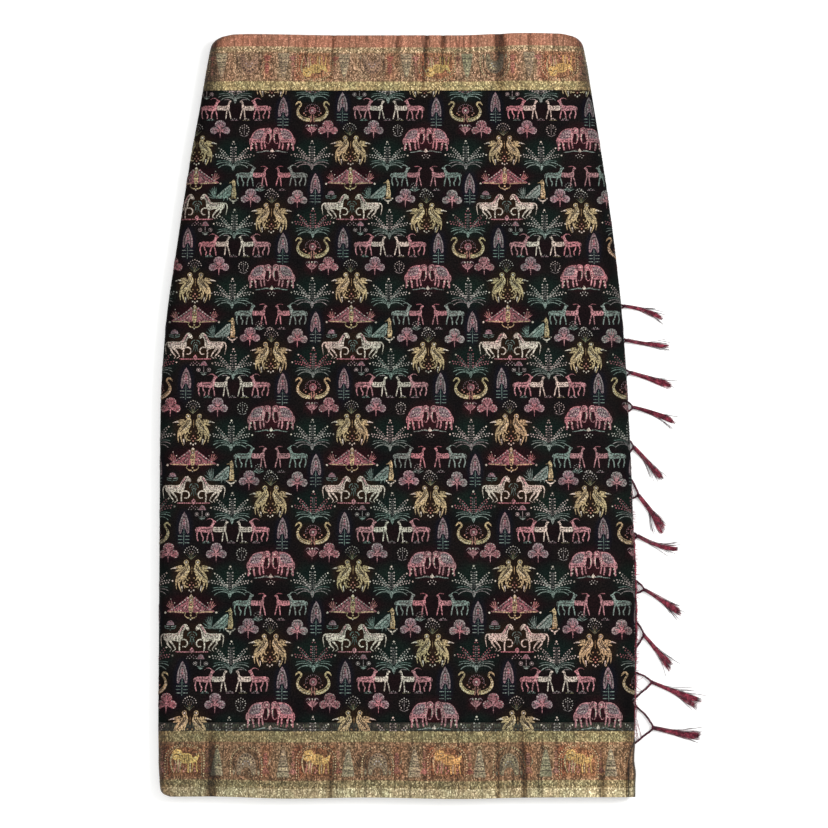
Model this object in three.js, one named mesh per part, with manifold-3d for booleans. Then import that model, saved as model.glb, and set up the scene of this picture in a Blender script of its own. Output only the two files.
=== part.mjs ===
// A saree of black brocade with gold borders, folded and laid flat on a surface with its face up.
// Millimetres. +X is to the right of the folded saree, +Y runs from its lower border to its upper border,
// +Z points up, away from the surface. The origin is the middle of the underside, on the surface.
import * as THREE from "three";
import Module from "manifold-3d";
import { mergeVertices } from "three/addons/utils/BufferGeometryUtils.js";

const wasm = await Module();
wasm.setup();

// Driving dimensions
const SAREE_WIDTH = 1150; // selvedge to selvedge
const HALF = SAREE_WIDTH / 2;
const CLOTH = 1.2; // wall of one layer, brocade floats included
const SEAM = 0.3; // clearance between neighbouring pieces
const FACE_HEIGHT = 17; // the front layer's face above the surface
const END_DROOP = 1.0; // how far the front layer sinks at its two selvedges
const DROOP_REACH = 14; // and over what distance
const UPPER_BORDER = 90.5; // woven border along the upper selvedge
const LOWER_BORDER = 105; // woven border along the lower selvedge, with its dark guard stripe
const STACK_FOOT = 3.0; // underside of the hidden layers, over the turned-back front layer
const STACK_HEAD = 12.8; // their upper side
const LAYER_COUNT = 7; // hidden layers that show as ridges
const RIDGE = 0.9; // how deep the groove between two layers is
const TURN_UNDER = 24; // what the front layer runs on under the stack at each side

// Outline of the folded saree, seen from above: where its left and right folds are.
const OUTLINE = [
  { y: -575, left: -322, right: 343 },
  { y: -572, left: -330, right: 343 },
  { y: -567, left: -334.5, right: 343 },
  { y: -556, left: -336.5, right: 343 },
  { y: -480, left: -340.5, right: 344 },
  { y: -365, left: -343, right: 347.5 },
  { y: -250, left: -345.5, right: 349.5 },
  { y: -135, left: -348, right: 348.5 },
  { y: 0, left: -350.3, right: 345.8 },
  { y: 115, left: -346, right: 341 },
  { y: 230, left: -333.5, right: 332 },
  { y: 360, left: -317.5, right: 317.5 },
  { y: 465, left: -302, right: 303.5 },
  { y: 545, left: -290.5, right: 292 },
  { y: 560, left: -287.5, right: 289 },
  { y: 568, left: -281.5, right: 283.5 },
  { y: 572.5, left: -274, right: 276 },
  { y: 575, left: -262, right: 264 },
];

// A side bend: its two radii, the angle it is bent round to (90 is on top of the stack, 0 straight
// down and -90 right under it) and how far the cloth runs on from there.
const BEND = { across: 12, down: 7.75, turn: -90, runsOn: TURN_UNDER };

// At the lower right corner the front layer's edge climbs from under the stack, round the fold and up
// onto it, so that the layer under it shows.
const RIGHT_TURN = [
  { y: -575, turn: 82, runsOn: 0.8 },
  { y: -540, turn: 79, runsOn: 0.8 },
  { y: -515, turn: 66, runsOn: 0.9 },
  { y: -500, turn: 44, runsOn: 1 },
  { y: -490, turn: 10, runsOn: 1.2 },
  { y: -481, turn: -40, runsOn: 1.5 },
  { y: -472, turn: -90, runsOn: 2 },
  { y: -425, turn: -90, runsOn: TURN_UNDER },
];

// Creases in the front layer: troughs with a soft ridge beside each. A row gives where the trough
// is at its strong end, how it leans, its half width and depth, and over what stretch of y it lies.
const CREASES = [
  { x: -264, lean: 0.01, half: 7, depth: 1.6, from: -600, to: -400 },
  { x: -93, lean: 0.0, half: 12, depth: 0.8, from: -600, to: -440 },
  { x: 147, lean: 0.0, half: 8, depth: 1.1, from: -600, to: -420 },
  { x: 184, lean: 0.02, half: 9, depth: 1.5, from: -600, to: -390 },
  { x: 296, lean: 0.0, half: 9, depth: 1.0, from: -600, to: -430 },
  { x: -140, lean: 0.0, half: 14, depth: 0.9, from: 430, to: 600 },
  { x: -97, lean: 0.05, half: 6, depth: 1.2, from: 440, to: 600 },
  { x: 2, lean: 0.03, half: 6, depth: 1.0, from: 450, to: 600 },
  { x: 47, lean: 0.07, half: 6, depth: 1.5, from: 420, to: 600 },
  { x: 72, lean: 0.05, half: 6, depth: 1.3, from: 450, to: 600 },
  { x: 160, lean: 0.0, half: 14, depth: 1.6, from: 400, to: 600 },
];

// Waves in the two selvedges: how far each stands out of the straight line.
const UPPER_WAVE = [
  { x: -290, out: 0 },
  { x: -225, out: 2 },
  { x: -90, out: 0 },
  { x: 90, out: 0 },
  { x: 205, out: 4 },
  { x: 290, out: 1.5 },
];
const LOWER_WAVE = [
  { x: -340, out: -1 },
  { x: -265, out: -1.5 },
  { x: -150, out: 1.5 },
  { x: -40, out: 0 },
  { x: 90, out: 2 },
  { x: 200, out: 0 },
  { x: 343, out: -0.5 },
];

// A smooth curve through one column of a table whose rows are in order.
function along(table, key, column, at) {
  const last = table.length - 1;
  if (at <= table[0][key]) return table[0][column];
  if (at >= table[last][key]) return table[last][column];
  let i = 0;
  while (table[i + 1][key] < at) i++;
  const slope = (a, b) =>
    (table[b][column] - table[a][column]) / (table[b][key] - table[a][key]);
  const tangent = (k) => {
    if (k === 0) return slope(0, 1);
    if (k === last) return slope(last - 1, last);
    const before = slope(k - 1, k);
    const after = slope(k, k + 1);
    return before * after <= 0 ? 0 : (2 * before * after) / (before + after);
  };
  const span = table[i + 1][key] - table[i][key];
  const t = (at - table[i][key]) / span;
  const t2 = t * t;
  const t3 = t2 * t;
  return (
    (2 * t3 - 3 * t2 + 1) * table[i][column] +
    (t3 - 2 * t2 + t) * span * tangent(i) +
    (3 * t2 - 2 * t3) * table[i + 1][column] +
    (t3 - t2) * span * tangent(i + 1)
  );
}

const smooth = (t) => {
  const c = Math.min(1, Math.max(0, t));
  return c * c * (3 - 2 * c);
};

const evenly = (from, to, count) =>
  Array.from({ length: count }, (_, i) => from + ((to - from) * i) / (count - 1));

// A straight line across the saree, waved near the selvedges.
const WAVE_REACH = 130;
const waved = (x, y) =>
  y +
  along(UPPER_WAVE, "x", "out", x) * smooth((y - HALF + WAVE_REACH) / WAVE_REACH) -
  along(LOWER_WAVE, "x", "out", x) * smooth((-y - HALF + WAVE_REACH) / WAVE_REACH);

const bendTop = (y) => FACE_HEIGHT - END_DROOP * smooth(1 - (HALF - Math.abs(y)) / DROOP_REACH);

// How far down a crease pulls the cloth at a point, with the ridge that stands beside it.
const RIDGE_SHARE = 0.3;
function creaseAt(crease, x, y) {
  const upper = crease.from > 0;
  const strongEnd = upper ? HALF : -HALF;
  const fadesOver = upper ? strongEnd - crease.from : crease.to - strongEnd;
  const strength = smooth(1 - Math.abs(y - strongEnd) / fadesOver);
  const off = Math.abs(x - crease.x + crease.lean * Math.abs(strongEnd - y)) / crease.half;
  if (off < 1) return -crease.depth * strength * (1 - smooth(off) * (1 + RIDGE_SHARE));
  return crease.depth * strength * RIDGE_SHARE * smooth(2 - off);
}

// The height of the front layer's face between its two side bends, where no crease runs.
const CALM_MARGIN = 20;
function faceHeight(x, y, left, right) {
  const inFromBends = Math.min(x - left, right - x);
  const clear = smooth(inFromBends / CALM_MARGIN);
  const creased = CREASES.reduce((sum, crease) => sum + creaseAt(crease, x, y), 0);
  return bendTop(y) + clear * creased;
}

// One side bend of the front layer, as pairs of an outer and an inner point, from its far end under
// the stack, round the fold, to the face. side is 1 at the right and -1 at the left.
const BEND_STEPS = 7;
function bendPairs(edge, side, bend, top) {
  const middleX = edge - side * bend.across;
  const middleZ = top - bend.down;
  const onBend = (degrees) => {
    const a = THREE.MathUtils.degToRad(degrees);
    const normal = new THREE.Vector2(
      (side * Math.cos(a)) / bend.across,
      Math.sin(a) / bend.down,
    ).normalize();
    const outer = new THREE.Vector2(
      middleX + side * bend.across * Math.cos(a),
      middleZ + bend.down * Math.sin(a),
    );
    return { outer, inner: outer.clone().addScaledVector(normal, -CLOTH) };
  };
  const pairs = [];
  const first = onBend(bend.turn);
  const outward = first.outer.clone().sub(first.inner).normalize();
  const onward = new THREE.Vector2(outward.y, -outward.x).multiplyScalar(side);
  pairs.push({
    outer: first.outer.clone().addScaledVector(onward, bend.runsOn),
    inner: first.inner.clone().addScaledVector(onward, bend.runsOn),
  });
  for (let i = 0; i <= BEND_STEPS; i++)
    pairs.push(onBend(bend.turn + ((90 - bend.turn) * i) / BEND_STEPS));
  return pairs;
}

// The bend reaches from the face down to the underlay whatever the droop is.
const BEND_MARGIN = 3; // no column of the face comes nearer to a bend
const bendAt = (y, bend) => ({ ...bend, down: bendTop(y) / 2 - (FACE_HEIGHT / 2 - bend.down) });
const wall = (pairs) => [...pairs.map((p) => p.outer), ...pairs.map((p) => p.inner).reverse()];

// The closed section of the front layer at one y: out along its face side, back along its inner side.
function frontSection(y, columns) {
  const left = along(OUTLINE, "y", "left", y);
  const right = along(OUTLINE, "y", "right", y);
  const top = bendTop(y);
  const rightBend = {
    ...BEND,
    turn: along(RIGHT_TURN, "y", "turn", y),
    runsOn: along(RIGHT_TURN, "y", "runsOn", y),
  };
  const faceLeft = left + BEND.across;
  const faceRight = right - BEND.across;
  const face = columns.map((x) => {
    const at = THREE.MathUtils.clamp(x, faceLeft + BEND_MARGIN, faceRight - BEND_MARGIN);
    const outer = new THREE.Vector2(at, faceHeight(at, y, faceLeft, faceRight));
    return { outer, inner: outer.clone().setY(outer.y - CLOTH) };
  });
  return wall([
    ...bendPairs(left, -1, bendAt(y, BEND), top),
    ...face,
    ...bendPairs(right, 1, bendAt(y, rightBend), top).reverse(),
  ]);
}

// The layer right under the front one, where it shows at the lower right corner.
const UNDER = CLOTH + SEAM;
const SECOND = {
  across: BEND.across - UNDER,
  down: BEND.down - UNDER,
  turn: -78,
  runsOn: 1,
  flap: 14, // how far it reaches in under the front layer
  tuck: 0.8,
  tuckedFrom: -494,
  tuckReach: 8,
  upTo: -448,
};
function secondSection(y) {
  // Where the front layer turns round it, it is tucked in a little more.
  const tuck = SECOND.tuck * smooth((y - SECOND.tuckedFrom) / SECOND.tuckReach);
  const right = along(OUTLINE, "y", "right", y) - UNDER - tuck;
  const top = bendTop(y) - UNDER - tuck;
  const down = bendTop(y) / 2 - (FACE_HEIGHT / 2 - BEND.down) - UNDER - tuck;
  const bend = { ...SECOND, across: SECOND.across - tuck, down };
  const inward = right - bend.across - SECOND.flap;
  const outer = new THREE.Vector2(inward, top);
  return wall([
    { outer, inner: outer.clone().setY(top - CLOTH) },
    ...bendPairs(right, 1, bend, top).reverse(),
  ]);
}

// A closed solid through rings of equal length, its first and last ring filled.
function skinned(rings, cap) {
  const count = rings[0].length;
  const positions = rings.flat().flatMap((p) => [p.x, p.y, p.z]);
  const index = [];
  for (let r = 0; r + 1 < rings.length; r++)
    for (let i = 0; i < count; i++) {
      const a = r * count + i;
      const b = r * count + ((i + 1) % count);
      index.push(a, b, b + count, a, b + count, a + count);
    }
  const far = (rings.length - 1) * count;
  for (const [a, b, c] of cap) index.push(a, c, b, far + a, far + b, far + c);
  const geometry = new THREE.BufferGeometry();
  geometry.setAttribute("position", new THREE.Float32BufferAttribute(positions, 3));
  geometry.setIndex(index);
  return geometry;
}

// The two triangles across a wall at each step of its section, which closes the wall's end.
function wallCap(count) {
  const cap = [];
  for (let i = 0; i + 1 < count / 2; i++) {
    const across = count - 1 - i;
    cap.push([i, i + 1, across], [i + 1, across - 1, across]);
  }
  return cap;
}

// A stretch of a wall from one y to another, through its sections.
function stretch(from, to, between, section) {
  const ys = [...new Set([from, to, ...between])]
    .filter((y) => y >= from && y <= to)
    .sort((a, b) => a - b);
  const rings = ys.map((y) => section(y).map((p) => new THREE.Vector3(p.x, waved(p.x, y), p.y)));
  return skinned(rings, wallCap(rings[0].length));
}

// Columns across the face: each crease that counts gets the bottom of its trough and its two ridges.
const RIDGE_AT = 1.2; // in half widths of the trough
const columnsFor = (creases, between) =>
  [...creases.flatMap((c) => [-RIDGE_AT, 0, RIDGE_AT].map((k) => c.x + k * c.half)), ...between].sort(
    (a, b) => a - b,
  );
const STRONG = 1.5; // a crease at least this deep runs on into the field
const UPPER_COLUMNS = columnsFor(CREASES.filter((c) => c.from > 0), [-230, 230]);
const LOWER_COLUMNS = columnsFor(CREASES.filter((c) => c.from < 0), [-190, 40]);
const FIELD_COLUMNS = columnsFor(CREASES.filter((c) => c.depth >= STRONG), [-170, -60]);

const fieldTop = HALF - UPPER_BORDER;
const fieldFoot = -HALF + LOWER_BORDER;
const CORNER_ROWS = [575, 573.5, 570, 564, 556];
const footCorner = CORNER_ROWS.map((y) => -y);
const BARE_ROWS = [-540, ...evenly(-524, -472, 8)]; // close together where the right edge climbs
const FIELD_ROWS = [-440, -370, -250, -120, 0, 110, 220, 330, 430];
const SIDE_ROWS = [-575, -570, -556, -530, -500, -470, ...FIELD_ROWS, 530, 560, 570, 575];

const front = (columns) => (y) => frontSection(y, columns);
const upperBorderGeometry = stretch(
  fieldTop + SEAM,
  HALF,
  [510, 535, ...CORNER_ROWS],
  front(UPPER_COLUMNS),
);
const fieldGeometry = stretch(fieldFoot + SEAM, fieldTop - SEAM, FIELD_ROWS, front(FIELD_COLUMNS));
const lowerBorderGeometry = stretch(
  -HALF,
  fieldFoot - SEAM,
  [...footCorner, ...BARE_ROWS],
  front(LOWER_COLUMNS),
);
const secondLayerGeometry = stretch(
  -HALF,
  SECOND.upTo,
  [...footCorner, ...BARE_ROWS],
  secondSection,
);

// A ring round the saree at one height. Its rows are given on the full outline and set in at the two
// ends, so that it keeps the outline's round corners.
const END_COLUMNS = 5;
function loop(z, rows, insetEnd, leftX, rightX) {
  const shrink = (HALF - insetEnd) / HALF;
  const at = (x, row) => new THREE.Vector3(x, waved(x, row * shrink), z);
  const right = rows.map((row) => at(rightX(row), row));
  const left = rows.map((row) => at(leftX(row), row)).reverse();
  const across = (row, fromX, toX) =>
    evenly(fromX, toX, END_COLUMNS + 2)
      .slice(1, -1)
      .map((x) => at(x, row));
  const foot = rows[0];
  const head = rows[rows.length - 1];
  return [
    ...right,
    ...across(head, rightX(head), leftX(head)),
    ...left,
    ...across(foot, leftX(foot), rightX(foot)),
  ];
}

// A plate or stack built from rings that lie one above the other.
function stacked(rings) {
  const flat = rings[0].map((p) => new THREE.Vector2(p.x, p.y));
  return skinned(rings, THREE.ShapeUtils.triangulateShape(flat, []));
}

// The hidden layers: one rounded solid that fills the side bends, ridged all round where the layers'
// folds and selvedges lie. A row gives how far one layer stands back there, lowest layer first.
const LAYERS = [
  { fold: 0.4, selvedge: 2.6 },
  { fold: 0.2, selvedge: 1.2 },
  { fold: 0.5, selvedge: 3.2 },
  { fold: 0.1, selvedge: 1.6 },
  { fold: 0.5, selvedge: 2.4 },
  { fold: 0.2, selvedge: 0.9 },
  { fold: 0.6, selvedge: 2.0 },
];
const FILL = { across: 9.9, down: 5.4, middle: 8.9 }; // the round flank inside a side bend
const FILL_SECOND = { across: 7.8, down: 3.4, middle: 8.7 }; // and inside the second layer's bend
function flankInset(z, fill) {
  const up = Math.min(1, Math.abs(z - fill.middle) / fill.down);
  return BEND.across - fill.across * Math.sqrt(1 - up * up);
}
const underSecond = (y) => smooth((SECOND.upTo + 30 - y) / 20); // 1 inside the second layer's bend

const CREST = { groove: 0.02, low: 0.3, high: 0.72 }; // rings of one layer, in shares of its pitch
function stackGeometry() {
  const pitch = (STACK_HEAD - STACK_FOOT) / LAYER_COUNT;
  const rings = [];
  const ring = (z, layer, groove) => {
    const standsBack = layer.fold + groove;
    rings.push(
      loop(
        z,
        SIDE_ROWS,
        layer.selvedge + groove,
        (y) => along(OUTLINE, "y", "left", y) + flankInset(z, FILL) + standsBack,
        (y) => {
          const inset = THREE.MathUtils.lerp(
            flankInset(z, FILL),
            flankInset(z, FILL_SECOND),
            underSecond(y),
          );
          return along(OUTLINE, "y", "right", y) - inset - standsBack;
        },
      ),
    );
  };
  LAYERS.forEach((layer, i) => {
    const z = STACK_FOOT + pitch * i;
    ring(z + pitch * CREST.groove, layer, RIDGE);
    ring(z + pitch * CREST.low, layer, 0);
    ring(z + pitch * CREST.high, layer, 0);
  });
  ring(STACK_HEAD, LAYERS[LAYERS.length - 1], RIDGE);
  return stacked(rings);
}

// The end of the saree lies lowest, and its edge with the tassels comes out at the right.
// A row gives how far the cut edge stands out of the fold above it.
const END_EDGE = [
  { y: -575, out: -2.5 },
  { y: -512, out: -1.5 },
  { y: -490, out: 1 },
  { y: -300, out: 3.5 },
  { y: -200, out: 1.8 },
  { y: -120, out: -1 },
  { y: -40, out: -5 },
  { y: 575, out: -5.5 },
];
const HEADING = { width: 3.2, height: 1.2 }; // knotted strip along the cut edge
const HEADING_ROWS = evenly(-505, 545, 15);
const endEdgeX = (y) => along(OUTLINE, "y", "right", y) + along(END_EDGE, "y", "out", y);
const END_INSET = 3; // the end panel stands back this far at the selvedges
const LEFT_INSET = 4; // and this far at the left fold

function endPanelGeometry() {
  const shrink = (HALF - END_INSET) / HALF;
  const rows = [-575, -570, -556, ...HEADING_ROWS.map((y) => y / shrink), 560, 570, 575];
  const leftX = (row) => along(OUTLINE, "y", "left", row) + LEFT_INSET;
  const rightX = (row) => endEdgeX(row * shrink) - HEADING.width - SEAM;
  return stacked([0, CLOTH].map((z) => loop(z, rows, END_INSET, leftX, rightX)));
}

function headingGeometry() {
  const rings = HEADING_ROWS.map((y) => {
    const x = endEdgeX(y);
    return [
      new THREE.Vector3(x - HEADING.width, y, 0),
      new THREE.Vector3(x, y, 0),
      new THREE.Vector3(x, y, HEADING.height),
      new THREE.Vector3(x - HEADING.width, y, HEADING.height),
    ];
  });
  return skinned(rings.reverse(), [
    [0, 1, 3],
    [1, 2, 3],
  ]);
}

// The tassels. A row gives where its two legs leave the cut edge (only their y), its knot, its tip,
// how far its middle sways to its left, and how wide its skirt opens.
const TASSELS = [
  { legs: [150, 141], knot: [345.5, 147], tip: [400, 128], sway: 3.5, spread: 1.5 },
  { legs: [97, 89], knot: [348.5, 94], tip: [408.5, 86], sway: -1.5, spread: 1.1 },
  { legs: [50.5, 37], knot: [353, 44.5], tip: [413, 24], sway: 0.5, spread: 1.6 },
  { legs: [3.5, -19], knot: [354.5, -8.5], tip: [414.5, -30.5], sway: 2, spread: 1.5 },
  { legs: [-53, -80], knot: [354, -68.5], tip: [393.5, -116], sway: 0.8, spread: 1.4 },
  { legs: [-113, -146], knot: [359, -140.5], tip: [394.5, -192], sway: 1, spread: 1.5 },
  { legs: [-196, -206], knot: [356.5, -201], tip: [412.5, -219.5], sway: -3.5, spread: 1.2 },
  { legs: [-266, -284.5], knot: [364.5, -280], tip: [416, -313.5], sway: 0.5, spread: 1.5 },
  { legs: [-326, -364], knot: [362, -345], tip: [400.5, -392.5], sway: 0.8, spread: 1.8 },
  { legs: [-399, -436], knot: [372, -413], tip: [438, -443], sway: 1, spread: 1.8 },
  { legs: [-446, -501], knot: [372.5, -478], tip: [437.5, -491], sway: -0.5, spread: 1.6 },
];
const KNOT = { long: 3.1, wide: 2.5, high: 2.3 }; // half sizes of a tassel's knot
const LOCK = {
  radius: 0.55,
  tipRadius: 0.47,
  sides: 3,
  pitch: 1.15, // between neighbours in the knot
  across: 4,
  levels: 3,
  stagger: 0.25, // the middle level's shift, in pitches
  uneven: 0.035, // how much shorter one lock is than the next
  opens: 2.1, // what a skirt's spread does to the pitch at the tip
  sinksBy: 0.35, // share of its length by which a lock has come down to its level
  stations: [0, 0.2, 0.6, 1],
};
const LEG = { radius: 0.8, sides: 4, bow: 0.18, liesUpTo: 0.3, stations: [0, 0.3, 0.65, 1] };
const arch = (t) => 4 * t * (1 - t); // 0 at both ends and 1 in the middle
const ABOVE_SURFACE = 0.35; // between the surface and the lowest strand

// A merged solid for a boolean, from any closed three.js geometry.
function solid(geometry) {
  geometry.deleteAttribute("normal");
  geometry.deleteAttribute("uv");
  const merged = mergeVertices(geometry, 1e-4);
  return new wasm.Manifold(
    new wasm.Mesh({
      numProp: 3,
      vertProperties: new Float32Array(merged.attributes.position.array),
      triVerts: new Uint32Array(merged.index.array),
    }),
  );
}

function geometryOf(manifold) {
  const mesh = manifold.getMesh();
  const geometry = new THREE.BufferGeometry();
  geometry.setAttribute("position", new THREE.BufferAttribute(mesh.vertProperties, 3));
  geometry.setIndex(new THREE.BufferAttribute(mesh.triVerts, 1));
  return geometry;
}

// A thin round-ended tube with few sides through some points, thinning from one radius to another.
function tube(points, fromRadius, toRadius, sides) {
  const rings = points.map((p, i) => {
    const before = points[Math.max(0, i - 1)];
    const after = points[Math.min(points.length - 1, i + 1)];
    const ahead = after.clone().sub(before).normalize();
    const across = new THREE.Vector3(-ahead.y, ahead.x, 0).normalize();
    const up = new THREE.Vector3().crossVectors(ahead, across);
    const radius = THREE.MathUtils.lerp(fromRadius, toRadius, i / (points.length - 1));
    return evenly(0, 2 * Math.PI, sides + 1)
      .slice(0, -1)
      .map((a) =>
        p
          .clone()
          .addScaledVector(across, radius * Math.sin(a))
          .addScaledVector(up, radius * Math.cos(a)),
      );
  });
  const cap = Array.from({ length: sides - 2 }, (_, i) => [0, i + 1, i + 2]);
  // A ring runs against the way ahead, so its rings are taken from the far end.
  return skinned(rings.reverse(), cap);
}

function tasselGeometry(tassel) {
  const knotHeight = ABOVE_SURFACE + KNOT.high;
  const knot = new THREE.Vector3(...tassel.knot, knotHeight);
  const tip = new THREE.Vector3(...tassel.tip, knotHeight);
  const run = tip.clone().sub(knot);
  const ahead = run.clone().normalize();
  const across = new THREE.Vector3(-ahead.y, ahead.x, 0);

  const ball = new THREE.SphereGeometry(1, 7, 5);
  ball.rotateX(Math.PI / 2);
  ball.scale(KNOT.long, KNOT.wide, KNOT.high);
  ball.rotateZ(Math.atan2(ahead.y, ahead.x));
  ball.translate(knot.x, knot.y, knot.z);
  let whole = solid(ball);

  // Locks start side by side in the knot, sink to the surface and open towards the tip.
  for (let level = 0; level < LOCK.levels; level++)
    for (let i = 0; i < LOCK.across; i++) {
      const column = i - (LOCK.across - 1) / 2 + (level % 2) * LOCK.stagger;
      const reach = 1 - LOCK.uneven * (Math.abs(column) + ((i + 2 * level) % 3));
      const sunk = ABOVE_SURFACE + LOCK.radius + LOCK.pitch * level;
      const inKnot = knotHeight + LOCK.pitch * (level - 1);
      const points = LOCK.stations.map((t) => {
        const opened = 1 + (tassel.spread - 1) * smooth(t) * LOCK.opens;
        const side = column * LOCK.pitch * opened + tassel.sway * arch(t * reach);
        const p = knot.clone().addScaledVector(run, t * reach).addScaledVector(across, side);
        return p.setZ(THREE.MathUtils.lerp(inKnot, sunk, smooth(t / LOCK.sinksBy)));
      });
      whole = whole.add(solid(tube(points, LOCK.radius, LOCK.tipRadius, LOCK.sides)));
    }

  // Two legs run from the knot back to the cut edge, and stop just clear of it.
  for (const y of tassel.legs) {
    const clear = SEAM + LEG.radius / 2;
    const root = new THREE.Vector3(endEdgeX(y) + clear, y, ABOVE_SURFACE + LEG.radius);
    const bow = (y - tassel.knot[1]) * LEG.bow;
    const points = LEG.stations.map((t) => {
      const p = root.clone().lerp(knot, t);
      p.y += bow * arch(t);
      const risen = smooth((t - LEG.liesUpTo) / (1 - LEG.liesUpTo));
      return p.setZ(THREE.MathUtils.lerp(root.z, knotHeight, risen));
    });
    whole = whole.add(solid(tube(points, LEG.radius, LEG.radius, LEG.sides)));
  }
  return geometryOf(whole);
}

const finish = {
  brocade: new THREE.MeshStandardMaterial({ color: 0x14141a, roughness: 0.6, metalness: 0 }),
  border: new THREE.MeshStandardMaterial({ color: 0xa4824f, roughness: 0.45, metalness: 0.4 }),
  silk: new THREE.MeshStandardMaterial({ color: 0x7a1f34, roughness: 0.5, metalness: 0 }),
};

const saree = new THREE.Group();
function piece(name, geometry, material) {
  const mesh = new THREE.Mesh(geometry, material);
  mesh.name = name;
  saree.add(mesh);
}

piece("front_field", fieldGeometry, finish.brocade);
piece("upper_border", upperBorderGeometry, finish.border);
piece("lower_border", lowerBorderGeometry, finish.border);
piece("second_layer", secondLayerGeometry, finish.border);
piece("folded_layers", stackGeometry(), finish.brocade);
piece("end_panel", endPanelGeometry(), finish.brocade);
piece("end_heading", headingGeometry(), finish.silk);
TASSELS.forEach((tassel, i) =>
  piece(`tassel_${String(i + 1).padStart(2, "0")}`, tasselGeometry(tassel), finish.silk),
);

export default saree;
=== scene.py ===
# %% [markdown]
# # A folded black brocade saree
# A saree is one length of cloth, about 5.5 m long and 1.15 m wide. This one is black silk brocade with
# figures in coloured yarn, and a wide gold border along each selvedge. It is folded many times and lies
# flat, so what shows is its front layer, the edges of the folds under it, and its tasselled end.
#
# The CAD frame gives the true sizes. Here each piece gets its finer shape and its finish.

# %% Load the frame and keep its box
import math

import bmesh
import bpy
import numpy as np
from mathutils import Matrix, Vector
from mathutils.geometry import tessellate_polygon


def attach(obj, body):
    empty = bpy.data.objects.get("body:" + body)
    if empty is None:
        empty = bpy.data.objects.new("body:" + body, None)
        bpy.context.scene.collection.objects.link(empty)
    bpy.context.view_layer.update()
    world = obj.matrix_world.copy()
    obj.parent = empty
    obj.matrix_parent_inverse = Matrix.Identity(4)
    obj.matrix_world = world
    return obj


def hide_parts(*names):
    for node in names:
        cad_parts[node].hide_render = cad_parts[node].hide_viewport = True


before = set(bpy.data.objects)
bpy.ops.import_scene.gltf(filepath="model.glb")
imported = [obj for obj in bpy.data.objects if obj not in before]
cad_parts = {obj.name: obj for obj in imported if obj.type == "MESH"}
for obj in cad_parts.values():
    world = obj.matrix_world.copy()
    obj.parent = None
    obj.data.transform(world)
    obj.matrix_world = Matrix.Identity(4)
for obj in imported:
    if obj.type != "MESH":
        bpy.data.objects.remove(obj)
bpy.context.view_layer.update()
MM = 0.001


def in_scene(name, data):
    """A new object in the scene."""
    made = bpy.data.objects.new(name, data)
    bpy.context.scene.collection.objects.link(made)
    return made


# %% [markdown]
# ## The camera
# The photograph was taken from almost straight above, with the camera tilted 10 degrees towards the
# lower border. A camera object only needs a place and a direction: it looks along its own -Z, and
# `to_track_quat` turns it so that its Y stays up in the picture.

# %% Place the camera
AIM = Vector((0.027, -0.021, 0.017))
CAMERA_HEIGHT = math.radians(80)
CAMERA_DISTANCE = 2.34
CAMERA_LENS = 68.6  # mm, on a 36 mm sensor

away = Vector((0, -math.cos(CAMERA_HEIGHT), math.sin(CAMERA_HEIGHT)))
camera = in_scene("camera", bpy.data.cameras.new("camera"))
camera.data.lens = CAMERA_LENS
camera.data.sensor_width = 36
camera.location = AIM + away * CAMERA_DISTANCE
camera.rotation_euler = (-away).to_track_quat("-Z", "Y").to_euler()
bpy.context.scene.camera = camera
print("camera at", [round(c, 3) for c in camera.location])

# %% [markdown]
# ## Studio light and floor
# The photograph is a cut-out on white, so the floor is plain and pale. Cloth shows its weave and its
# creases only when some of the light comes in low from one side: a wide soft light from the right does
# that, a second one fills the other side, and the pale world keeps the shadows open.


# %% Light the table
WORLD_STRENGTH = 0.66
FLOOR_HALF = 6.0  # m
FLOOR_GLOW = 0.16  # thins the shadow, as on a cut-out


def soft_light(name, place, size, watts):
    """A square lamp that looks at the middle of the saree."""
    lamp = bpy.data.lights.new(name, "AREA")
    lamp.shape = "SQUARE"
    lamp.size = size
    lamp.energy = watts
    holder = in_scene(name, lamp)
    holder.location = place
    holder.rotation_euler = (AIM - Vector(place)).to_track_quat("-Z", "Y").to_euler()


soft_light("key_light", place=(2.1, 0.5, 1.5), size=1.0, watts=51)
soft_light("fill_light", place=(-1.8, -0.6, 2.2), size=1.6, watts=22)

world = bpy.data.worlds.new("studio")
world.use_nodes = True
backdrop = world.node_tree.nodes["Background"]
backdrop.inputs["Color"].default_value = (1, 1, 1, 1)
backdrop.inputs["Strength"].default_value = WORLD_STRENGTH
bpy.context.scene.world = world
bpy.context.scene.view_settings.view_transform = "Standard"

floor_mesh = bpy.data.meshes.new("floor")
floor_corners = [(-1, -1), (1, -1), (1, 1), (-1, 1)]
floor_mesh.from_pydata([(x * FLOOR_HALF, y * FLOOR_HALF, 0) for x, y in floor_corners], [], [(0, 1, 2, 3)])
in_scene("floor", floor_mesh)
print("floor:", 2 * FLOOR_HALF, "m wide")

# %% [markdown]
# ## Colours and small helpers for finishes
# Colours are written as a screen shows them, 0 to 255, because that is how one reads them off a cloth.
# Blender wants linear light, so one helper converts them. A second helper adds a shader node with its
# values in one call, so that each finish below reads as a list of what it is made of.


# %% Helpers for finishes
def linear(rgb):
    """Screen colour 0 to 255, as the linear colour that a shader takes."""
    share = np.array(rgb, float) / 255
    light = np.where(share <= 0.04045, share / 12.92, ((share + 0.055) / 1.055) ** 2.4)
    return (*light.tolist(), 1.0)


def node(tree, kind, settings=None, **sockets):
    """Add a node. A socket is named, or counted as i0, i1; it gets a value, or an output to link."""
    made = tree.nodes.new(kind)
    for name, value in (settings or {}).items():
        setattr(made, name, value)
    for name, value in sockets.items():
        number = name[1:] if name[0] == "i" else ""
        socket = made.inputs[int(number) if number.isdigit() else name.replace("_", " ")]
        if isinstance(value, bpy.types.NodeSocket):
            tree.links.new(value, socket)
        else:
            socket.default_value = value
    return made


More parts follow.
